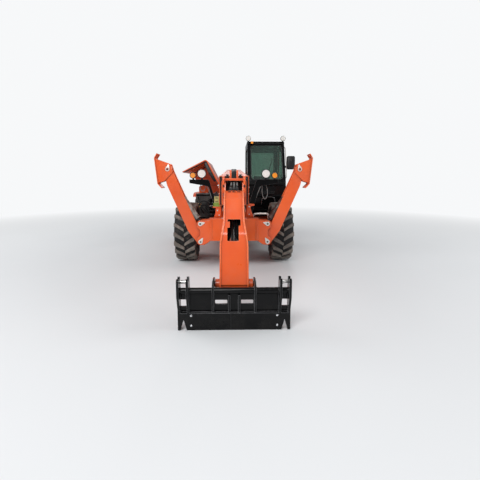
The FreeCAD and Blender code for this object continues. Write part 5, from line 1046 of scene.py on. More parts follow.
# Near black with little shine: painted shade for the inside of the neck
neck_shade = painted_steel("neck_shade", (0.0025, 0.0025, 0.0028), (0.0015, 0.0015, 0.0018), 0.55, 0.0, 0.0,
                           (0.01, 0.01, 0.01), 0.08, 0.0)
dress_all("neck_guards", guards, neck_shade, "boom_inner")
neck_hoses = []
for x, radius, bow in ((-0.070, 0.013, 0.00), (-0.040, 0.011, 0.01), (0.012, 0.011, 0.02),
                       (0.043, 0.013, 0.00), (0.072, 0.012, 0.015)):
    side = math.copysign(1, x)
    neck_hoses.append(pipe("neck_hose", [(x * 0.7, -2.78, 1.37), (x * 0.8, -2.86, 1.29),
                                         (x, -2.960 - bow, 1.19), (x, -3.040 - bow, 1.05),
                                         (x, -3.090 - bow, 0.95), (side * 0.075, -3.120 - bow, 0.880),
                                         (side * 0.108, -3.125 - bow, 0.845)], radius))
dress_all("neck_hoses", neck_hoses, neck_shade, "boom_inner")
print("neck filled")

# %% [markdown]
# The neck's cheeks stand proud of its face, and their rounded front edges show as two pale lines from
# the head to the foot. A bent bar with a soft curve follows each edge; its rounding catches the light,
# and its lighter orange is a painted highlight.

# %% Neck edges
NECK_EDGE = ((0.116, -2.738, 1.472), (0.116, -2.797, 1.443), (0.116, -2.867, 1.399), (0.116, -2.912, 1.365),
             (0.116, -2.997, 1.272), (0.116, -3.087, 1.174), (0.117, -3.137, 1.120), (0.127, -3.190, 1.060),
             (0.135, -3.236, 1.008), (0.140, -3.250, 0.975), (0.147, -3.260, 0.935), (0.155, -3.275, 0.885),
             (0.155, -3.298, 0.790), (0.155, -3.338, 0.620), (0.155, -3.367, 0.500))
# A lighter orange on the cheeks' edges: a painted highlight
highlight_orange = painted_steel("highlight_orange", (0.92, 0.215, 0.070), (0.84, 0.165, 0.050), 0.22, 0.15, 0.01,
                           (0.4, 0.08, 0.03), 0.6, 0.5)
edge = pipe("neck_edge", NECK_EDGE, 0.0092, 10)
neck_edges = joined("neck_edges", edge, mirror_copy(edge, "neck_edge_right"))
dress(neck_edges, highlight_orange, "boom_inner")
print("neck edges placed")

# %% [markdown]
# Below the cross web the head shows three grey tubes, each with a nut, before a black sheet: painted
# shade for the inside of the head.

# %% Tubes in the head
# A black sheet before the head's closing plate: painted shade for the inside of the head
shade_sheet_corners = [(-0.104, 1.375), (0.104, 1.375), (0.104, 1.604), (-0.104, 1.604)]
shade_sheet = plate("head_shade_sheet", "front", -2.560, -2.535, shade_sheet_corners, 0.004)
dress(shade_sheet, hose_rubber, "boom_inner")
dull_tube = bare_metal("dull_tube", (0.22, 0.22, 0.21), 0.42, 0.7, 0.5)
TUBE_Y = -2.640
tubes = []
for x in (-0.034, 0.004, 0.042):
    tubes.append(rod("head_tube", (x, TUBE_Y, 1.440), (x, TUBE_Y, 1.585), 0.0155, 20, 0.002))
    tubes.append(sleeve("head_tube_nut", 1.486, 1.512, 0.012, 0.0185, "z", 6, (x, TUBE_Y, 0)))
dress_all("head_tubes", tubes, dull_tube, "boom_inner")
print("head tubes placed")

# %% [markdown]
# The stabilisers' cylinders are still wrapped in thin film. A wrap is a spun sleeve with many rings,
# pushed in and out by a few waves of its own place, with a wider crumple at its ends.

# %% Film wraps
def film_finish(name, colour, deep):
    finish = Finish(name)
    crease = finish.ramp(finish.noise(22, 5, 0.7, (1.0, 1.0, 0.35)), 0.38, 0.66)
    finish.link(finish.mix(crease, deep, colour), finish.shader.inputs["Base Color"])
    finish.link(finish.ramp(crease, 0, 1, 0.30, 0.55), finish.shader.inputs["Roughness"])
    finish.bump(finish.noise(60, 4, 0.6), 0.4, 0.004)
    return finish.material


grey_film = film_finish("grey_film", (0.40, 0.37, 0.335), (0.10, 0.085, 0.072))
dark_film = film_finish("dark_film", (0.085, 0.040, 0.030), (0.025, 0.014, 0.012))
FILM_RINGS = 30
FILM_WALL = 0.006
FILM_WAVE = 0.0022
END_CRUMPLE, CRUMPLE_REACH = 0.006, 0.05


def film_wrap(name, start, direction, low, high, radius, finish, body, seed):
    """A crumpled sleeve round an axis that leaves start along direction."""
    profile = [(low + (high - low) * i / FILM_RINGS, radius) for i in range(FILM_RINGS + 1)]
    back = [(along, radius - FILM_WALL) for along, _ in reversed(profile)]
    wrap = lathe(name, profile + back, "z", 40)
    for vertex in wrap.data.vertices:
        x, y, z = vertex.co
        if math.hypot(x, y) < radius - FILM_WALL / 2:
            continue
        angle = math.atan2(y, x)
        wave = math.sin(3 * angle + 23 * z + seed) + 0.7 * math.sin(5 * angle - 41 * z + 2 * seed)
        wave += 0.6 * math.sin(2 * angle + 67 * z) + 0.5 * math.sin(9 * angle + 90 * z + seed)
        near_end = max(0, 1 - min(z - low, high - z) / CRUMPLE_REACH)
        push = FILM_WAVE * wave + END_CRUMPLE * near_end
        vertex.co.x += push * math.cos(angle)
        vertex.co.y += push * math.sin(angle)
    turn = Vector(direction).to_track_quat("Z", "Y").to_matrix().to_4x4()
    wrap.data.transform(Matrix.Translation(start) @ turn)
    return dress(wrap, finish, body, "black_paint", 60)


CYLINDER_LEAN = math.radians(34.9)
for side, sign, finish, seed in (("left", 1, dark_film, 0.4), ("right", -1, grey_film, 2.1)):
    film_wrap(f"film_wrap_{side}", (sign * EAR_X, STABILISER_Y, EAR_HEIGHTS[1]),
              (sign * math.sin(CYLINDER_LEAN), 0, math.cos(CYLINDER_LEAN)), 0.105, 0.535, 0.0545, finish,
              f"stabiliser_barrel_{side}", seed)
print("cylinders wrapped")

# %% [markdown]
# Along the valve bank hoses leave each port, bow forward and gather at the frame's side. Four thicker
# ones arch through the bay, and bright sleeves hold their ends at the frame.

# %% Valve bank hoses
FIRST_PORT, PORT_PITCH = -0.523, 0.0402
PORTS = [FIRST_PORT + PORT_PITCH * i for i in range(5)]
bank_hoses = []
for i, x in enumerate(PORTS):
    bank_hoses.append(pipe("bank_hose", [(x, 0.020, 1.060), (x, -0.040, 1.062), (x + 0.02, -0.062, 1.030),
                                         (-0.345 - 0.012 * i, -0.052, 0.965),
                                         (-0.300 - 0.010 * i, -0.080, 0.905),
                                         (-0.286, -0.20, 0.870 - 0.024 * i),
                                         (-0.286, -0.62, 0.850 - 0.024 * i)], 0.0095))
    bank_hoses.append(pipe("bank_return", [(x, 0.160, 1.205), (x, 0.165, 1.270), (x - 0.01, 0.215, 1.300),
                                           (x - 0.02, 0.275, 1.240), (x, 0.300, 1.080),
                                           (x + 0.03, 0.310, 0.940)], 0.010))
dress_all("bank_hoses", bank_hoses, hose_rubber)
nuts = [sleeve("bank_nut", -0.012, 0.012, 0.008, 0.0155, "y", 6, (x, -0.004, 1.060)) for x in PORTS]
dress_all("bank_nuts", nuts, zinc_plate)
BAY_LOOPS = (((-0.318, 0.300, 0.985), (-0.430, 0.300, 0.990), (-0.560, 0.270, 1.090),
              (-0.690, 0.250, 1.170), (-0.800, 0.265, 1.110), (-0.830, 0.310, 0.960),
              (-0.800, 0.400, 0.860)),
             ((-0.318, 0.270, 0.900), (-0.450, 0.270, 0.905), (-0.600, 0.240, 1.000),
              (-0.700, 0.230, 1.080), (-0.770, 0.250, 1.040), (-0.760, 0.320, 0.920),
              (-0.700, 0.400, 0.840)),
             ((-0.318, 0.330, 0.830), (-0.420, 0.310, 0.830), (-0.560, 0.280, 0.870),
              (-0.660, 0.260, 0.980), (-0.640, 0.280, 1.120), (-0.560, 0.330, 1.180),
              (-0.520, 0.400, 1.200)),
             ((-0.830, 0.400, 1.230), (-0.840, 0.320, 1.230), (-0.830, 0.270, 1.180),
              (-0.720, 0.240, 0.960), (-0.560, 0.250, 0.850), (-0.430, 0.290, 0.790),
              (-0.318, 0.300, 0.785)))
FRAME_SIDE = -0.32
bay_hoses, bay_ends = [], []
for loop, radius in zip(BAY_LOOPS, (0.0145, 0.0125, 0.0135, 0.0120)):
    bay_hoses.append(pipe("bay_hose", loop, radius, 8))
    for x, y, z in (loop[0], loop[-1]):
        if x > FRAME_SIDE:
            bay_ends.append(rod("bay_end", (x - 0.004, y, z), (x - 0.050, y, z), radius + 0.004, 20, 0.002))
dress_all("bay_hoses", bay_hoses, hose_rubber)
dress_all("bay_hose_ends", bay_ends, zinc_plate)
print("valve bank dressed")

# %% [markdown]
# A plastic relay box with a green foot stands on a bracket beside the boom, with its loom running back.
# A bracket with a hooked tip stands on the other side.

# %% Relay box and brackets
green_plastic = painted_steel("green_plastic", (0.22, 0.34, 0.02), (0.16, 0.26, 0.015), 0.35, 0.15, 0.0,
                              (0.1, 0.12, 0.02))
cream_plastic = painted_steel("cream_plastic", (0.52, 0.47, 0.17), (0.42, 0.38, 0.12), 0.35, 0.15, 0.0,
                              (0.2, 0.18, 0.1))
foot = [box("box_foot", (-0.376, -1.205, 1.140), (-0.250, -1.131, 1.156), 0.004),
        box("box_base", (-0.362, -1.200, 1.152), (-0.262, -1.136, 1.215), 0.006)]
foot += [box("box_ear", (x - 0.006, -1.190, 1.150), (x + 0.006, -1.150, 1.200), 0.003)
         for x in (-0.370, -0.256)]
dress_all("relay_box_foot", foot, green_plastic)
lid = [box("box_lid", (-0.358, -1.196, 1.213), (-0.266, -1.138, 1.325), 0.007),
       box("box_lip", (-0.363, -1.200, 1.250), (-0.261, -1.135, 1.264), 0.003)]
dress_all("relay_box_lid", lid, cream_plastic)
plugs = [box("box_plug", (-0.345, -1.186, 1.322), (-0.279, -1.148, 1.352), 0.003)]
plugs += [box("box_slot", (-0.340, -1.1975, z), (-0.288, -1.190, z + 0.009), 0.001)
          for z in (1.228, 1.282, 1.302)]
dress_all("relay_box_plug", plugs, hose_rubber)
loom = pipe("relay_loom", [(-0.312, -1.167, 1.345), (-0.312, -1.160, 1.400), (-0.330, -1.100, 1.410),
                           (-0.325, -1.060, 1.340), (-0.300, -1.040, 1.220), (-0.285, -1.020, 1.100)],
            0.009, 8)
dress(loom, hose_rubber)
BRACKET_FRONT, BRACKET_BACK = -1.202, -1.188
brackets = [box("relay_shelf", (-0.388, -1.212, 1.122), (-0.238, -1.122, 1.1405), 0.004),
            plate("relay_post", "front", BRACKET_FRONT, BRACKET_BACK,
                  [(-0.372, 0.935), (-0.236, 0.935), (-0.236, 1.126), (-0.330, 1.126), (-0.338, 1.020)],
                  0.003),
            plate("hook_post", "front", BRACKET_FRONT, BRACKET_BACK,
                  [(0.236, 0.935), (0.362, 0.935), (0.318, 1.050), (0.300, 1.120), (0.318, 1.150),
                   (0.372, 1.158), (0.372, 1.190), (0.290, 1.196), (0.240, 1.180)], 0.004),
            plate("hook_web", "side", 0.240, 0.252, [(-1.200, 0.935), (-1.120, 0.935), (-1.190, 1.120),
                                                     (-1.200, 1.120)], 0.003)]
dress_all("side_brackets", brackets, orange_paint)
spots = [(x, BRACKET_FRONT, z) for x, z in ((-0.300, 1.070), (-0.268, 0.985), (0.276, 1.140),
                                            (0.276, 1.000))]
dress(bolts("bracket_bolts", spots, (0, -1, 0), 0.013), zinc_plate)
print("relay box placed")

# %% [markdown]
# The radiator's core is a field of thin fins between two tanks, with a brass filler coupling before
# it. Two big hoses run from it to the engine, a belt turns round the crank wheel and the fan's hub,
# and the cover is held by bolts.

# %% Radiator face
RADIATOR_Y = 0.39
FIN_COUNT, FIN_FOOT, FIN_PITCH = 34, 0.775, 0.0145
fins = []
for i in range(FIN_COUNT):
    z = FIN_FOOT + i * FIN_PITCH
    fins.append(box("fin", (-0.862, RADIATOR_Y - 0.0045, z), (-0.478, RADIATOR_Y + 0.001, z + 0.004),
                    0.0008, 1))
for x in (-0.868, -0.770, -0.672, -0.574, -0.480):
    fins.append(box("fin_post", (x - 0.005, RADIATOR_Y - 0.008, 0.770),
                    (x + 0.005, RADIATOR_Y + 0.001, 1.272), 0.001, 1))
dress_all("radiator_fins", fins, dark_iron)
tanks = [box("radiator_tank", (-0.883, RADIATOR_Y - 0.020, 1.265), (-0.457, RADIATOR_Y + 0.002, 1.306),
             0.010, 3),
         box("radiator_foot", (-0.883, RADIATOR_Y - 0.016, 0.735), (-0.457, RADIATOR_Y + 0.002, 0.772),
             0.008, 3)]
dress_all("radiator_tanks", tanks, black_paint)
COUPLING_Y = RADIATOR_Y - 0.094
coupling = lathe("filler_coupling", [(0.0, 0.010), (0.0, 0.030), (0.050, 0.030), (0.056, 0.044),
                                     (0.086, 0.046), (0.092, 0.040), (0.092, 0.030), (0.070, 0.026),
                                     (0.070, 0.010)], "y", 40, (-0.797, COUPLING_Y, 1.053))
flip = Matrix.Scale(-1, 4, (0, 1, 0))
coupling.data.transform(Matrix.Translation((0, RADIATOR_Y + COUPLING_Y, 0)) @ flip)
coupling.data.flip_normals()
dress(coupling, brass_fitting)
print("radiator dressed")

# %% Engine hoses and belt
cooling = [pipe("top_hose", [(-0.560, 0.415, 1.290), (-0.560, 0.415, 1.360), (-0.560, 0.520, 1.385),
                             (-0.585, 0.640, 1.375), (-0.610, 0.730, 1.330), (-0.610, 0.740, 1.285)], 0.024,
                10),
           pipe("low_hose", [(-0.800, 0.500, 0.800), (-0.845, 0.560, 0.810), (-0.865, 0.660, 0.850),
                             (-0.850, 0.740, 0.930), (-0.800, 0.760, 0.960)], 0.022, 10),
           pipe("breather", [(-0.840, 0.810, 1.150), (-0.880, 0.800, 1.190), (-0.870, 0.780, 1.270),
                             (-0.760, 0.770, 1.330), (-0.690, 0.790, 1.300)], 0.015, 8)]
dress_all("engine_hoses", cooling, hose_rubber)
BELT_X, BELT_Y, BELT_HALF = -0.66, 0.652, 0.010
BELT_STEPS = 12
BELT_MIDDLE = 1.06
# Height, radius and first angle of the crank wheel and of the fan's hub
BELT_WHEELS = ((0.980, 0.087, math.pi), (1.140, 0.062, 0.0))
outside = [(BELT_X + radius * math.cos(first + i * math.pi / BELT_STEPS),
            height + radius * math.sin(first + i * math.pi / BELT_STEPS))
           for height, radius, first in BELT_WHEELS for i in range(BELT_STEPS + 1)]
inside = [(BELT_X + (x - BELT_X) * 0.93, z - math.copysign(0.005, z - BELT_MIDDLE)) for x, z in outside]
belt = []
for i, here in enumerate(outside):
    j = (i + 1) % len(outside)
    belt.append(plate("belt_link", "front", BELT_Y - BELT_HALF, BELT_Y + BELT_HALF,
                      [here, outside[j], inside[j], inside[i]], 0))
dress(outwards(joined("fan_belt", *belt)), hose_rubber, smooth=60)
cover = [(x, y, 1.3003) for x in (-0.715, -0.495) for y in (0.76, 0.92, 1.08, 1.24, 1.34)]
dress(bolts("head_cover_bolts", cover, (0, 0, 1), 0.011), zinc_plate)
print("engine dressed")

# %% [markdown]
# The hood stands open, so its inside is seen: a rubber seal runs along its front and rear edge, four
# pressed ribs stiffen the panel and a dark pad lines the front. Outside it has a row of louvres and a
# latch. The pieces are drawn in the hood's own frame, with the hinge at zero, and turned open with it.

# %% Hood
HOOD_OPEN = math.radians(62.9)
HOOD_HINGE = Vector((-0.32, 0, 1.515))


def on_hood(piece):
    piece.data.transform(Matrix.Translation(HOOD_HINGE) @ Matrix.Rotation(HOOD_OPEN, 4, "Y"))
    return piece


seals = []
for y in (0.274, 1.588):
    seals.append(pipe("hood_seal", [(-0.060, y, -0.032), (-0.300, y, -0.032), (-0.560, y, -0.032),
                                    (-0.622, y, -0.040), (-0.627, y, -0.110), (-0.627, y, -0.350),
                                    (-0.627, y, -0.600)], 0.013, 8))
dress(on_hood(joined("hood_seals", *seals)), hose_rubber, "hood")
lining = plate("hood_lining", "front", 0.268, 0.282, [(-0.115, -0.024), (-0.572, -0.024), (-0.600, -0.050),
                                                      (-0.590, -0.098), (-0.340, -0.110), (-0.130, -0.086)],
               0.004)
dress(on_hood(lining), hose_rubber, "hood")
ribs = []
for y in (0.46, 0.82, 1.18, 1.50):
    ribs.append(plate("hood_rib", "front", y, y + 0.034,
                      [(-0.120, -0.021), (-0.560, -0.021), (-0.620, -0.060), (-0.6385, -0.120),
                       (-0.6385, -0.560), (-0.624, -0.560), (-0.622, -0.130), (-0.606, -0.072),
                       (-0.552, -0.036), (-0.120, -0.036)], 0.003))
dress(on_hood(joined("hood_ribs", *ribs)), orange_paint, "hood")
LOUVRE_TOP, LOUVRE_PITCH = -0.150, 0.034
louvres = []
for i in range(9):
    z = LOUVRE_TOP - i * LOUVRE_PITCH
    louvres.append(plate("louvre", "front", 1.02, 1.50,
                         [(-0.659, z), (-0.6685, z - 0.018), (-0.6685, z - 0.021), (-0.659, z - 0.020)],
                         0.001, 1))
dress(on_hood(joined("hood_louvres", *louvres)), orange_paint, "hood")
latch = [box("latch_plate", (-0.6665, 0.900, -0.590), (-0.659, 1.020, -0.545), 0.002),
         box("latch_grip", (-0.684, 0.925, -0.582), (-0.664, 0.995, -0.562), 0.005, 3)]
dress(on_hood(joined("hood_latch", *latch)), black_paint, "hood")
print("hood dressed")

# %% [markdown]
# The cab's glass is held by black rubber seals with rounded corners. A seal is a closed bent tube
# that follows the edge of its opening. The windshield leans, so its seal is drawn in the sheet's own
# slope.

# %% Window seals
SCREEN_LOW, SCREEN_HIGH = 1.640, 2.425
SILL_Y, SILL_Z = 0.040, 1.630
SCREEN_RUN, SCREEN_RISE = 0.310, 0.8297


def screen_y(z):
    """The outer face of the leaning front wall at a height."""
    return SILL_Y + (z - SILL_Z) * SCREEN_RUN / SCREEN_RISE


def rounded_loop(low, high, rounding, steps=5):
    """Corners of a rounded rectangle in a plane, as (first, second)."""
    spots = []
    for cx, cz, start in ((high[0] - rounding, high[1] - rounding, 0),
                          (low[0] + rounding, high[1] - rounding, 90),
                          (low[0] + rounding, low[1] + rounding, 180),
                          (high[0] - rounding, low[1] + rounding, 270)):
        for i in range(steps + 1):
            a = math.radians(start + 90 * i / steps)
            spots.append((cx + rounding * math.cos(a), cz + rounding * math.sin(a)))
    return spots + spots[:1]


seals = []
loop = rounded_loop((0.384, SCREEN_LOW + 0.004), (1.086, SCREEN_HIGH - 0.004), 0.075)
seals.append(pipe("screen_seal", [(x, screen_y(z) + 0.006, z) for x, z in loop], 0.009, 6, 2))
loop = rounded_loop((0.389, 1.484), (1.066, 2.361), 0.040)
seals.append(pipe("rear_seal", [(x, 1.496, z) for x, z in loop], 0.008, 6, 2))
boom_side = [(0.195, 1.484), (0.160, 1.560), (0.365, 2.330), (0.420, 2.361), (1.340, 2.361), (1.374, 2.330),
             (1.374, 1.520), (1.340, 1.484), (0.240, 1.484), (0.195, 1.484)]
seals.append(pipe("boom_side_seal", [(0.311, y, z) for y, z in boom_side], 0.008, 6, 2))
quarter = [(1.174, 1.484), (1.174, 2.361), (1.376, 2.361), (1.376, 1.484), (1.174, 1.484)]
seals.append(pipe("quarter_seal", [(1.146, y, z) for y, z in quarter], 0.007, 6, 2))
dress_all("window_seals", seals, hose_rubber)
print("seals placed")

# %% [markdown]
# Things on the cab's front: a wiper with its arm and blade, a black rail loop, a pale grab rail beside
# the door and vents in the black lower panel. A bright pipe runs over the cross beam before it.

# %% Cab front
def on_screen(x, z, ahead):
    """A place that stands a step ahead of the leaning front wall."""
    return x, screen_y(z) - ahead, z


HUB_X, HUB_Z = 0.700, SCREEN_LOW - 0.035
wiper = [rod("wiper_hub", on_screen(HUB_X, HUB_Z, 0.024), on_screen(HUB_X, HUB_Z, -0.010), 0.017, 20,
             0.003),
         pipe("wiper_arm", [on_screen(HUB_X, HUB_Z, 0.018), on_screen(0.74, 1.72, 0.022),
                            on_screen(0.80, 1.90, 0.016)], 0.006, 6),
         rod("wiper_blade", on_screen(0.730, 1.700, 0.008), on_screen(0.870, 2.120, 0.008), 0.0065, 8)]
dress_all("wiper", wiper, hose_rubber)
rail = pipe("front_rail", [(0.605, 0.065, 1.085), (0.605, 0.000, 1.085), (0.605, -0.042, 1.115),
                           (0.608, -0.055, 1.180), (0.630, -0.060, 1.245), (0.700, -0.060, 1.256),
                           (0.760, -0.060, 1.258), (0.820, -0.060, 1.256), (0.880, -0.060, 1.245),
                           (0.897, -0.055, 1.180), (0.900, -0.038, 1.115), (0.900, 0.000, 1.085),
                           (0.900, 0.065, 1.085)], 0.011, 10)
rail_paint = painted_steel("rail_paint", (0.020, 0.020, 0.022), (0.014, 0.014, 0.016), 0.10, 0.2, 0.01,
                           (0.10, 0.09, 0.08), 0.9, 1.0)
dress(rail, rail_paint)
silver = [pipe("beam_pipe", [(0.262, -1.020, 0.880), (0.300, -1.030, 0.885), (0.345, -1.050, 0.930),
                             (0.372, -1.060, 0.985), (0.430, -1.062, 0.998), (0.500, -1.062, 0.998),
                             (0.590, -1.062, 0.998), (0.622, -1.075, 0.995), (0.628, -1.140, 0.985),
                             (0.628, -1.200, 0.965), (0.628, -1.215, 0.925)], 0.019, 12),
          rod("beam_pipe_clamp", (0.470, -1.062, 0.998), (0.492, -1.062, 0.998), 0.025, 20, 0.003)]
dress_all("beam_pipe", silver, zinc_plate)
grab = pipe("grab_rail", [(1.152, 0.345, 2.380), (1.172, 0.330, 2.370), (1.176, 0.290, 2.250),
                          (1.176, 0.170, 1.950), (1.176, 0.120, 1.780), (1.172, 0.105, 1.680),
                          (1.152, 0.105, 1.660)], 0.011, 10)
pale_paint = painted_steel("pale_paint", (0.52, 0.50, 0.47), (0.45, 0.43, 0.40), 0.3, 0.25, 0.01,
                           (0.2, 0.18, 0.16))
dress(grab, pale_paint)
PANEL_FOOT, PANEL_HEIGHT, PANEL_LEAN = 1.28, 0.35, 0.06
vents = [box("vent_slat", (0.56, -0.0245, z), (0.90, -0.012, z + 0.007), 0.002, 1)
         for z in (1.330, 1.346, 1.362, 1.378)]
for slat in vents:
    for vertex in slat.data.vertices:
        vertex.co.y += PANEL_LEAN * (vertex.co.z - PANEL_FOOT) / PANEL_HEIGHT
dress_all("cab_vents", vents, hose_rubber)
print("cab front dressed")

# %% [markdown]
# The mirror's back is a rounded shell. Its glass faces the driver, set in a lip. The door has a
# bright lock beside its handle.

# %% Mirror and door
glass_plate = plate("mirror_glass", "front", 0.1645, 0.1672,
                    rounded_loop((1.194, 1.880), (1.346, 2.145), 0.028)[:-1], 0.001)
mirror_glass = bare_metal("mirror_glass", (0.72, 0.75, 0.78), 0.04, 1.0, 0.1)
dress(glass_plate, mirror_glass)
lip = pipe("mirror_lip", [(x, 0.1655, z) for x, z in rounded_loop((1.187, 1.873), (1.353, 2.152), 0.032)],
           0.0045, 6, 2)
dress(lip, hose_rubber)
shell = plate("mirror_shell", "front", 0.106, 0.116, rounded_loop((1.188, 1.874), (1.352, 2.151),
                                                                  0.040)[:-1], 0.0)
MIRROR_X, MIRROR_Z = 1.270, 2.0125
for vertex in shell.data.vertices:
    if vertex.co.y < 0.110:
        vertex.co.x = MIRROR_X + (vertex.co.x - MIRROR_X) * 0.86
        vertex.co.z = MIRROR_Z + (vertex.co.z - MIRROR_Z) * 0.90
dress(round_edges(shell, 0.004), hose_rubber)
lock = rod("door_lock", (1.171, 0.385, 1.501), (1.176, 0.385, 1.501), 0.009, 20, 0.001)
dress(lock, zinc_plate, "cab_door")
print("mirror and door dressed")

# %% [markdown]
# The operator's seat is a soft piece. A cushion starts as a subdivided block a little smaller than the
# real one, with raised bolsters. Air pressure in a short cloth run rounds it, no point moving further
# than a cap, and the result is applied. Stitched channels are pressed in last, because the fine remesh
# before the cloth would wipe them out. The seat stands on a boot of folded rubber.

# %% Soft cushions
def cushion(name, low, high, crown, bolster, face_axis, face_sign):
    """A block whose face is crowned and whose two long edges, along X, carry raised bolsters."""
    clear_selection()
    bpy.ops.mesh.primitive_cube_add(size=1)
    piece = new_piece(name)
    for vertex in piece.data.vertices:
        for axis in range(3):
            vertex.co[axis] = low[axis] if vertex.co[axis] < 0 else high[axis]
    bpy.ops.object.mode_set(mode="EDIT")
    bpy.ops.mesh.select_all(action="SELECT")
    bpy.ops.mesh.subdivide(number_cuts=19)
    bpy.ops.object.mode_set(mode="OBJECT")
    middle = [(a + b) / 2 for a, b in zip(low, high)]
    half = [(b - a) / 2 for a, b in zip(low, high)]
    length_axis = 3 - face_axis
    for vertex in piece.data.vertices:
        part = [(vertex.co[i] - middle[i]) / half[i] for i in range(3)]
        facing = max(0.0, part[face_axis] * face_sign)
        dome = (1 - part[0] ** 4) * (1 - part[length_axis] ** 4)
        edge = math.exp(-((abs(part[0]) - 0.80) / 0.16) ** 2) * (1 - abs(part[length_axis]) ** 6)
        vertex.co[face_axis] += face_sign * facing * (crown * (dome - 0.7) + bolster * edge)
        # Sides pull in between the corners
        vertex.co[0] -= 0.008 * part[0] * (1 - part[length_axis] ** 2)
        vertex.co[length_axis] -= 0.006 * part[length_axis] * (1 - part[0] ** 2)
    round_edges(piece, 0.022, 4, 50)
    return piece


AIR_PRESSURE = 4
CLOTH_FRAMES = 16
PUSH_CAP = 0.010


def inflated(piece, cap=PUSH_CAP):
    """A short cloth run under air pressure, left out while other pieces are worked on."""
    apply_modifier(piece, "REMESH", mode="VOXEL", voxel_size=0.006, use_smooth_shade=True)
    before = [vertex.co.copy() for vertex in piece.data.vertices]
    take(piece)
    cloth = piece.modifiers.new("cloth", "CLOTH")
    cloth.settings.quality = 4
    cloth.settings.use_pressure = True
    cloth.settings.uniform_pressure_force = AIR_PRESSURE
    cloth.settings.effector_weights.gravity = 0
    cloth.collision_settings.use_collision = False
    for step in range(1, CLOTH_FRAMES + 1):
        bpy.context.scene.frame_set(step)
    bpy.ops.object.modifier_apply(modifier=cloth.name)
    bpy.context.scene.frame_set(1)
    for vertex, start in zip(piece.data.vertices, before):
        push = vertex.co - start
        if push.length > cap:
            vertex.co = start + push * (cap / push.length)
    return piece


SEWN_FACING = 0.35
GROOVE_WIDTH, GROOVE_DEPTH = 0.008, 0.009
FOLD_REACH, FOLD_DEPTH = 0.04, 0.0014


def stitched(piece, seams, face_axis, face_sign):
    """Sewn channels pressed into the face, with small folds running out of each."""
    first, second = [i for i in range(3) if i != face_axis]
    for vertex in piece.data.vertices:
        facing = max(0.0, vertex.normal[face_axis] * face_sign)
        if facing < SEWN_FACING:
            continue
        sink = 0
        wave = math.sin(90 * vertex.co[first] + 55 * vertex.co[second])
        for axis, place in seams:
            distance = abs(vertex.co[axis] - place)
            groove = math.exp(-(distance / GROOVE_WIDTH) ** 2)
            sink = max(sink, GROOVE_DEPTH * groove)
            sink -= FOLD_DEPTH * math.exp(-(distance / FOLD_REACH) ** 2) * wave * (1 - groove)
        vertex.co[face_axis] -= face_sign * facing * sink
    piece.data.update()
    return piece


# %% Seat
SEAT_X = 0.7275
SEAT_LEAN = math.radians(12.1)
base = inflated(cushion("seat_base", (SEAT_X - 0.222, 0.715, 1.112), (SEAT_X + 0.222, 1.200, 1.205), 0.016,
                        0.020, 2, 1))
stitched(base, [(0, SEAT_X - 0.135), (0, SEAT_X + 0.135), (1, 0.860), (1, 1.010)], 2, 1)
back = inflated(cushion("seat_back", (-0.212, 0.010, 0.020), (0.212, 0.092, 0.575), 0.014, 0.020, 1, -1))
stitched(back, [(0, -0.130), (0, 0.130), (2, 0.190), (2, 0.340)], 1, -1)
lean = Matrix.Translation((SEAT_X, 1.172, 1.190)) @ Matrix.Rotation(-SEAT_LEAN, 4, "X")
back.data.transform(lean)
cushions = joined("seat_cushions", base, back)
cushions.data.materials.clear()
dress(cushions, seat_vinyl, smooth=60)
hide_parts("operator_seat")
loop = rounded_loop((-0.226, 0.712), (0.226, 1.150), 0.040)
dress(pipe("seat_piping", [(SEAT_X + x, y, 1.197) for x, y in loop], 0.0045, 6, 2), hose_rubber)

# %% Seat stand
FOLD_FOOT, FOLD_PITCH, FOLD_INSET = 0.862, 0.031, 0.022
folds = []
for i in range(7):
    inset = FOLD_INSET if i % 2 else 0.0
    low_z = FOLD_FOOT + i * FOLD_PITCH
    folds.append(box("boot_fold", (SEAT_X - 0.178 + inset, 0.772 + inset, low_z),
                     (SEAT_X + 0.178 - inset, 1.168 - inset, low_z + 0.033), 0.012, 3))
folds.append(box("boot_plate", (SEAT_X - 0.180, 0.770, 0.8405), (SEAT_X + 0.180, 1.170, 0.866), 0.004))
folds.append(box("seat_pan", (SEAT_X - 0.200, 0.740, 1.078), (SEAT_X + 0.200, 1.210, 1.112), 0.010, 3))
dress_all("seat_boot", folds, hose_rubber)
stand = [box("arm_pad", (0.425, 0.800, 1.262), (0.495, 1.120, 1.300), 0.014, 4),
         box("arm_box", (0.436, 0.860, 1.205), (0.484, 1.100, 1.266), 0.010, 3),
         box("arm_bracket", (0.470, 1.000, 1.085), (0.540, 1.060, 1.110), 0.006),
         box("arm_leg", (0.462, 1.000, 1.085), (0.482, 1.060, 1.225), 0.006),
         lathe("stick_boot", [(1.298, 0.004), (1.298, 0.030), (1.310, 0.027), (1.316, 0.021),
                              (1.326, 0.018), (1.332, 0.010), (1.332, 0.004)], "z", 28,
               (0.460, 0.845, 0)),
         rod("stick", (0.460, 0.845, 1.320), (0.460, 0.835, 1.400), 0.006, 12),
         lathe("stick_grip", [(1.388, 0.006), (1.388, 0.015), (1.402, 0.019), (1.430, 0.020),
                              (1.448, 0.022), (1.458, 0.016), (1.460, 0.006)], "z", 28, (0.460, 0.833, 0))]
dress_all("arm_rest", stand, seat_vinyl)
print("seat placed")

# %% [markdown]
# The pieces around the machine that are too small for the CAD source: filler caps, a level gauge, tail
# lamps on the counterweight's corners, ribs on the steps, and a rolled edge on each fender.

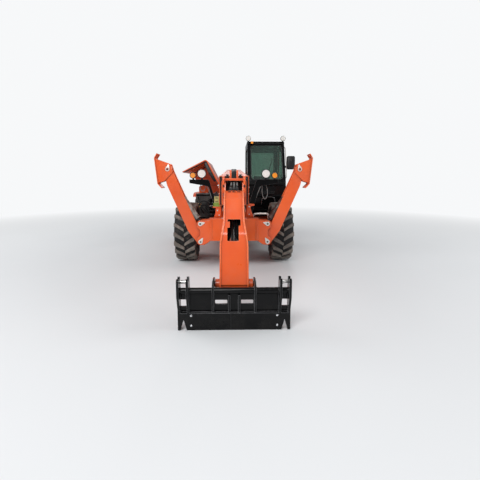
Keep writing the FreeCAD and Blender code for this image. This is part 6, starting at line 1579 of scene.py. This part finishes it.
# %% Caps, gauge and steps
CAP = ((-0.002, 0.012), (-0.002, 0.040), (0.008, 0.040), (0.010, 0.047), (0.032, 0.045), (0.038, 0.036),
       (0.038, 0.012))
caps = [lathe("filler_cap", [(sign * along, radius) for along, radius in CAP], "x", 36, place)
        for place, sign in (((1.090, 0.400, 0.655), 1), ((-0.980, 1.450, 0.560), -1))]
dress_all("filler_caps", caps, hose_rubber)
dress(rod("level_gauge", (-0.988, 1.300, 0.480), (-0.988, 1.300, 0.600), 0.0075, 16, 0.001), lamp_lens)
dress(bolts("gauge_bolts", [(-0.980, 1.300, z) for z in (0.474, 0.606)], (-1, 0, 0), 0.012), zinc_plate)
RIDGE_START, RIDGE_PITCH = 0.690, 0.042
ridges = []
for top in (0.505, 0.685):
    for i in range(9):
        y = RIDGE_START + i * RIDGE_PITCH
        ridges.append(box("step_ridge", (1.094, y, top - 0.001), (1.138, y + 0.014, top + 0.005), 0.002, 1))
dress_all("step_ridges", ridges, dark_iron, "chassis", "black_paint")

# %% Fender edges
rolls = []
edge = [(-0.620, 1.165), (-0.610, 1.228), (-0.430, 1.279), (0.430, 1.279), (0.610, 1.228), (0.620, 1.165)]
for sign in (1, -1):
    for x in (0.553, 1.144):
        rolls.append(pipe("fender_roll", [(sign * x, AXLES["rear"] + y, z) for y, z in edge], 0.006, 6))
dress_all("fender_rolls", rolls, orange_paint)

# %% Tail lamps
red_lens = glass("red_lens", (0.70, 0.010, 0.008), 0.14, 0.0)
TAIL_LAMP_X = 0.598
housings, reds, ambers = [], [], []
for sign in (1, -1):
    centre = sign * TAIL_LAMP_X
    housings.append(box("tail_housing", (centre - 0.085, 3.555, 0.900), (centre + 0.085, 3.584, 0.985),
                        0.008, 3))
    for shift, pieces in ((-0.040, reds), (0.040, ambers)):
        x = centre + sign * shift
        pieces.append(box("tail_lens", (x - 0.036, 3.580, 0.910), (x + 0.036, 3.5965, 0.975), 0.006, 3))
dress_all("tail_housings", housings, black_paint)
dress_all("tail_red", reds, red_lens)
dress_all("tail_amber", ambers, amber_lens)
lifting = bolts("weight_bolts", [(x, 3.49, 1.110) for x in (-0.45, -0.15, 0.15, 0.45)], (0, 0, 1), 0.022)
dress(lifting, zinc_plate)
print("machine's rear dressed")

# %% [markdown]
# Hydraulic hoses for the head run under clips on the outer boom's top. At the head a black box stands
# between the two guides, with the ends of two hoses beside it.

# %% Boom top
HOSE_Z = 0.2295
runs = []
for x in (-0.045, -0.022, 0.001, 0.024, 0.047):
    runs.append(pipe("boom_hose", [(x, -4.90, 0.229), (x, -4.70, HOSE_Z), (x, -2.4, HOSE_Z),
                                   (x, -0.30, HOSE_Z), (x * 1.4, 0.00, HOSE_Z), (x * 1.5, 0.085, 0.215)],
                     0.010, 8))
dress(on_boom(joined("boom_hoses", *runs)), hose_rubber, "boom_outer")
clips = []
for y in (-4.86, -4.1, -3.3, -2.5, -1.7, -0.9, -0.35):
    clips.append(plate("hose_clip", "front", y - 0.02, y + 0.02,
                       [(-0.085, 0.2165), (-0.060, 0.2165), (-0.060, 0.2400), (0.062, 0.2400),
                        (0.062, 0.2165), (0.087, 0.2165), (0.087, 0.2195), (0.068, 0.2195), (0.068, 0.2445),
                        (-0.066, 0.2445), (-0.066, 0.2195), (-0.085, 0.2195)], 0.001, 1))
dress(on_boom(joined("hose_clips", *clips)), dark_iron, "boom_outer")
head_box = [box("head_box", (-0.0305, -2.668, 1.628), (0.0305, -2.588, 1.726), 0.006, 3)]
HOSE_END_Y = -2.602
for x in (0.088, -0.088):
    head_box.append(rod("hose_end", (x, HOSE_END_Y, 1.560), (x, HOSE_END_Y, 1.688), 0.0165, 20, 0.003))
    head_box.append(sleeve("hose_nut", 1.640, 1.664, 0.012, 0.024, "z", 6, (x, HOSE_END_Y, 0)))
dress_all("head_hose_box", head_box, hose_rubber, "boom_inner")
print("boom top dressed")

# %% [markdown]
# The floor is a plain pale sheet that keeps the machine's shadow. Far from the machine it fades, for
# camera rays alone, to the colour of the sky, so that no hard horizon crosses the picture. It is
# never a lamp.

# %% Floor
FLOOR_COLOUR = (0.66, 0.67, 0.68, 1)
FADE_FROM, FADE_TO = 3.4, 13.0
clear_selection()
bpy.ops.mesh.primitive_plane_add(size=160, location=(0, 0, -0.002))
floor = bpy.context.object
floor.name = "studio_floor"
floor_finish = Finish("studio_floor")
floor_finish.link(floor_finish.ramp(floor_finish.noise(0.8, 5), 0.3, 0.7, 0.55, 0.70),
                  floor_finish.shader.inputs["Roughness"])
floor_finish.set(Base_Color=FLOOR_COLOUR)
distance = floor_finish.tree.nodes.new("ShaderNodeVectorMath")
distance.operation = "LENGTH"
floor_finish.link(floor_finish.place.outputs["Object"], distance.inputs[0])
fade = floor_finish.ramp(distance.outputs["Value"], FADE_FROM, FADE_TO)
eye = floor_finish.tree.nodes.new("ShaderNodeLightPath")
shown = floor_finish.math("MAXIMUM", eye.outputs["Is Camera Ray"], eye.outputs["Is Transmission Ray"])
glow = floor_finish.tree.nodes.new("ShaderNodeEmission")
glow.inputs["Color"].default_value = SKY_SEEN
blend = floor_finish.tree.nodes.new("ShaderNodeMixShader")
floor_finish.link(floor_finish.math("MULTIPLY", fade, shown), blend.inputs[0])
floor_finish.link(floor_finish.shader.outputs[0], blend.inputs[1])
floor_finish.link(glow.outputs[0], blend.inputs[2])
floor_finish.link(blend.outputs[0], floor_finish.tree.nodes["Material Output"].inputs["Surface"])
floor.data.materials.append(floor_finish.material)
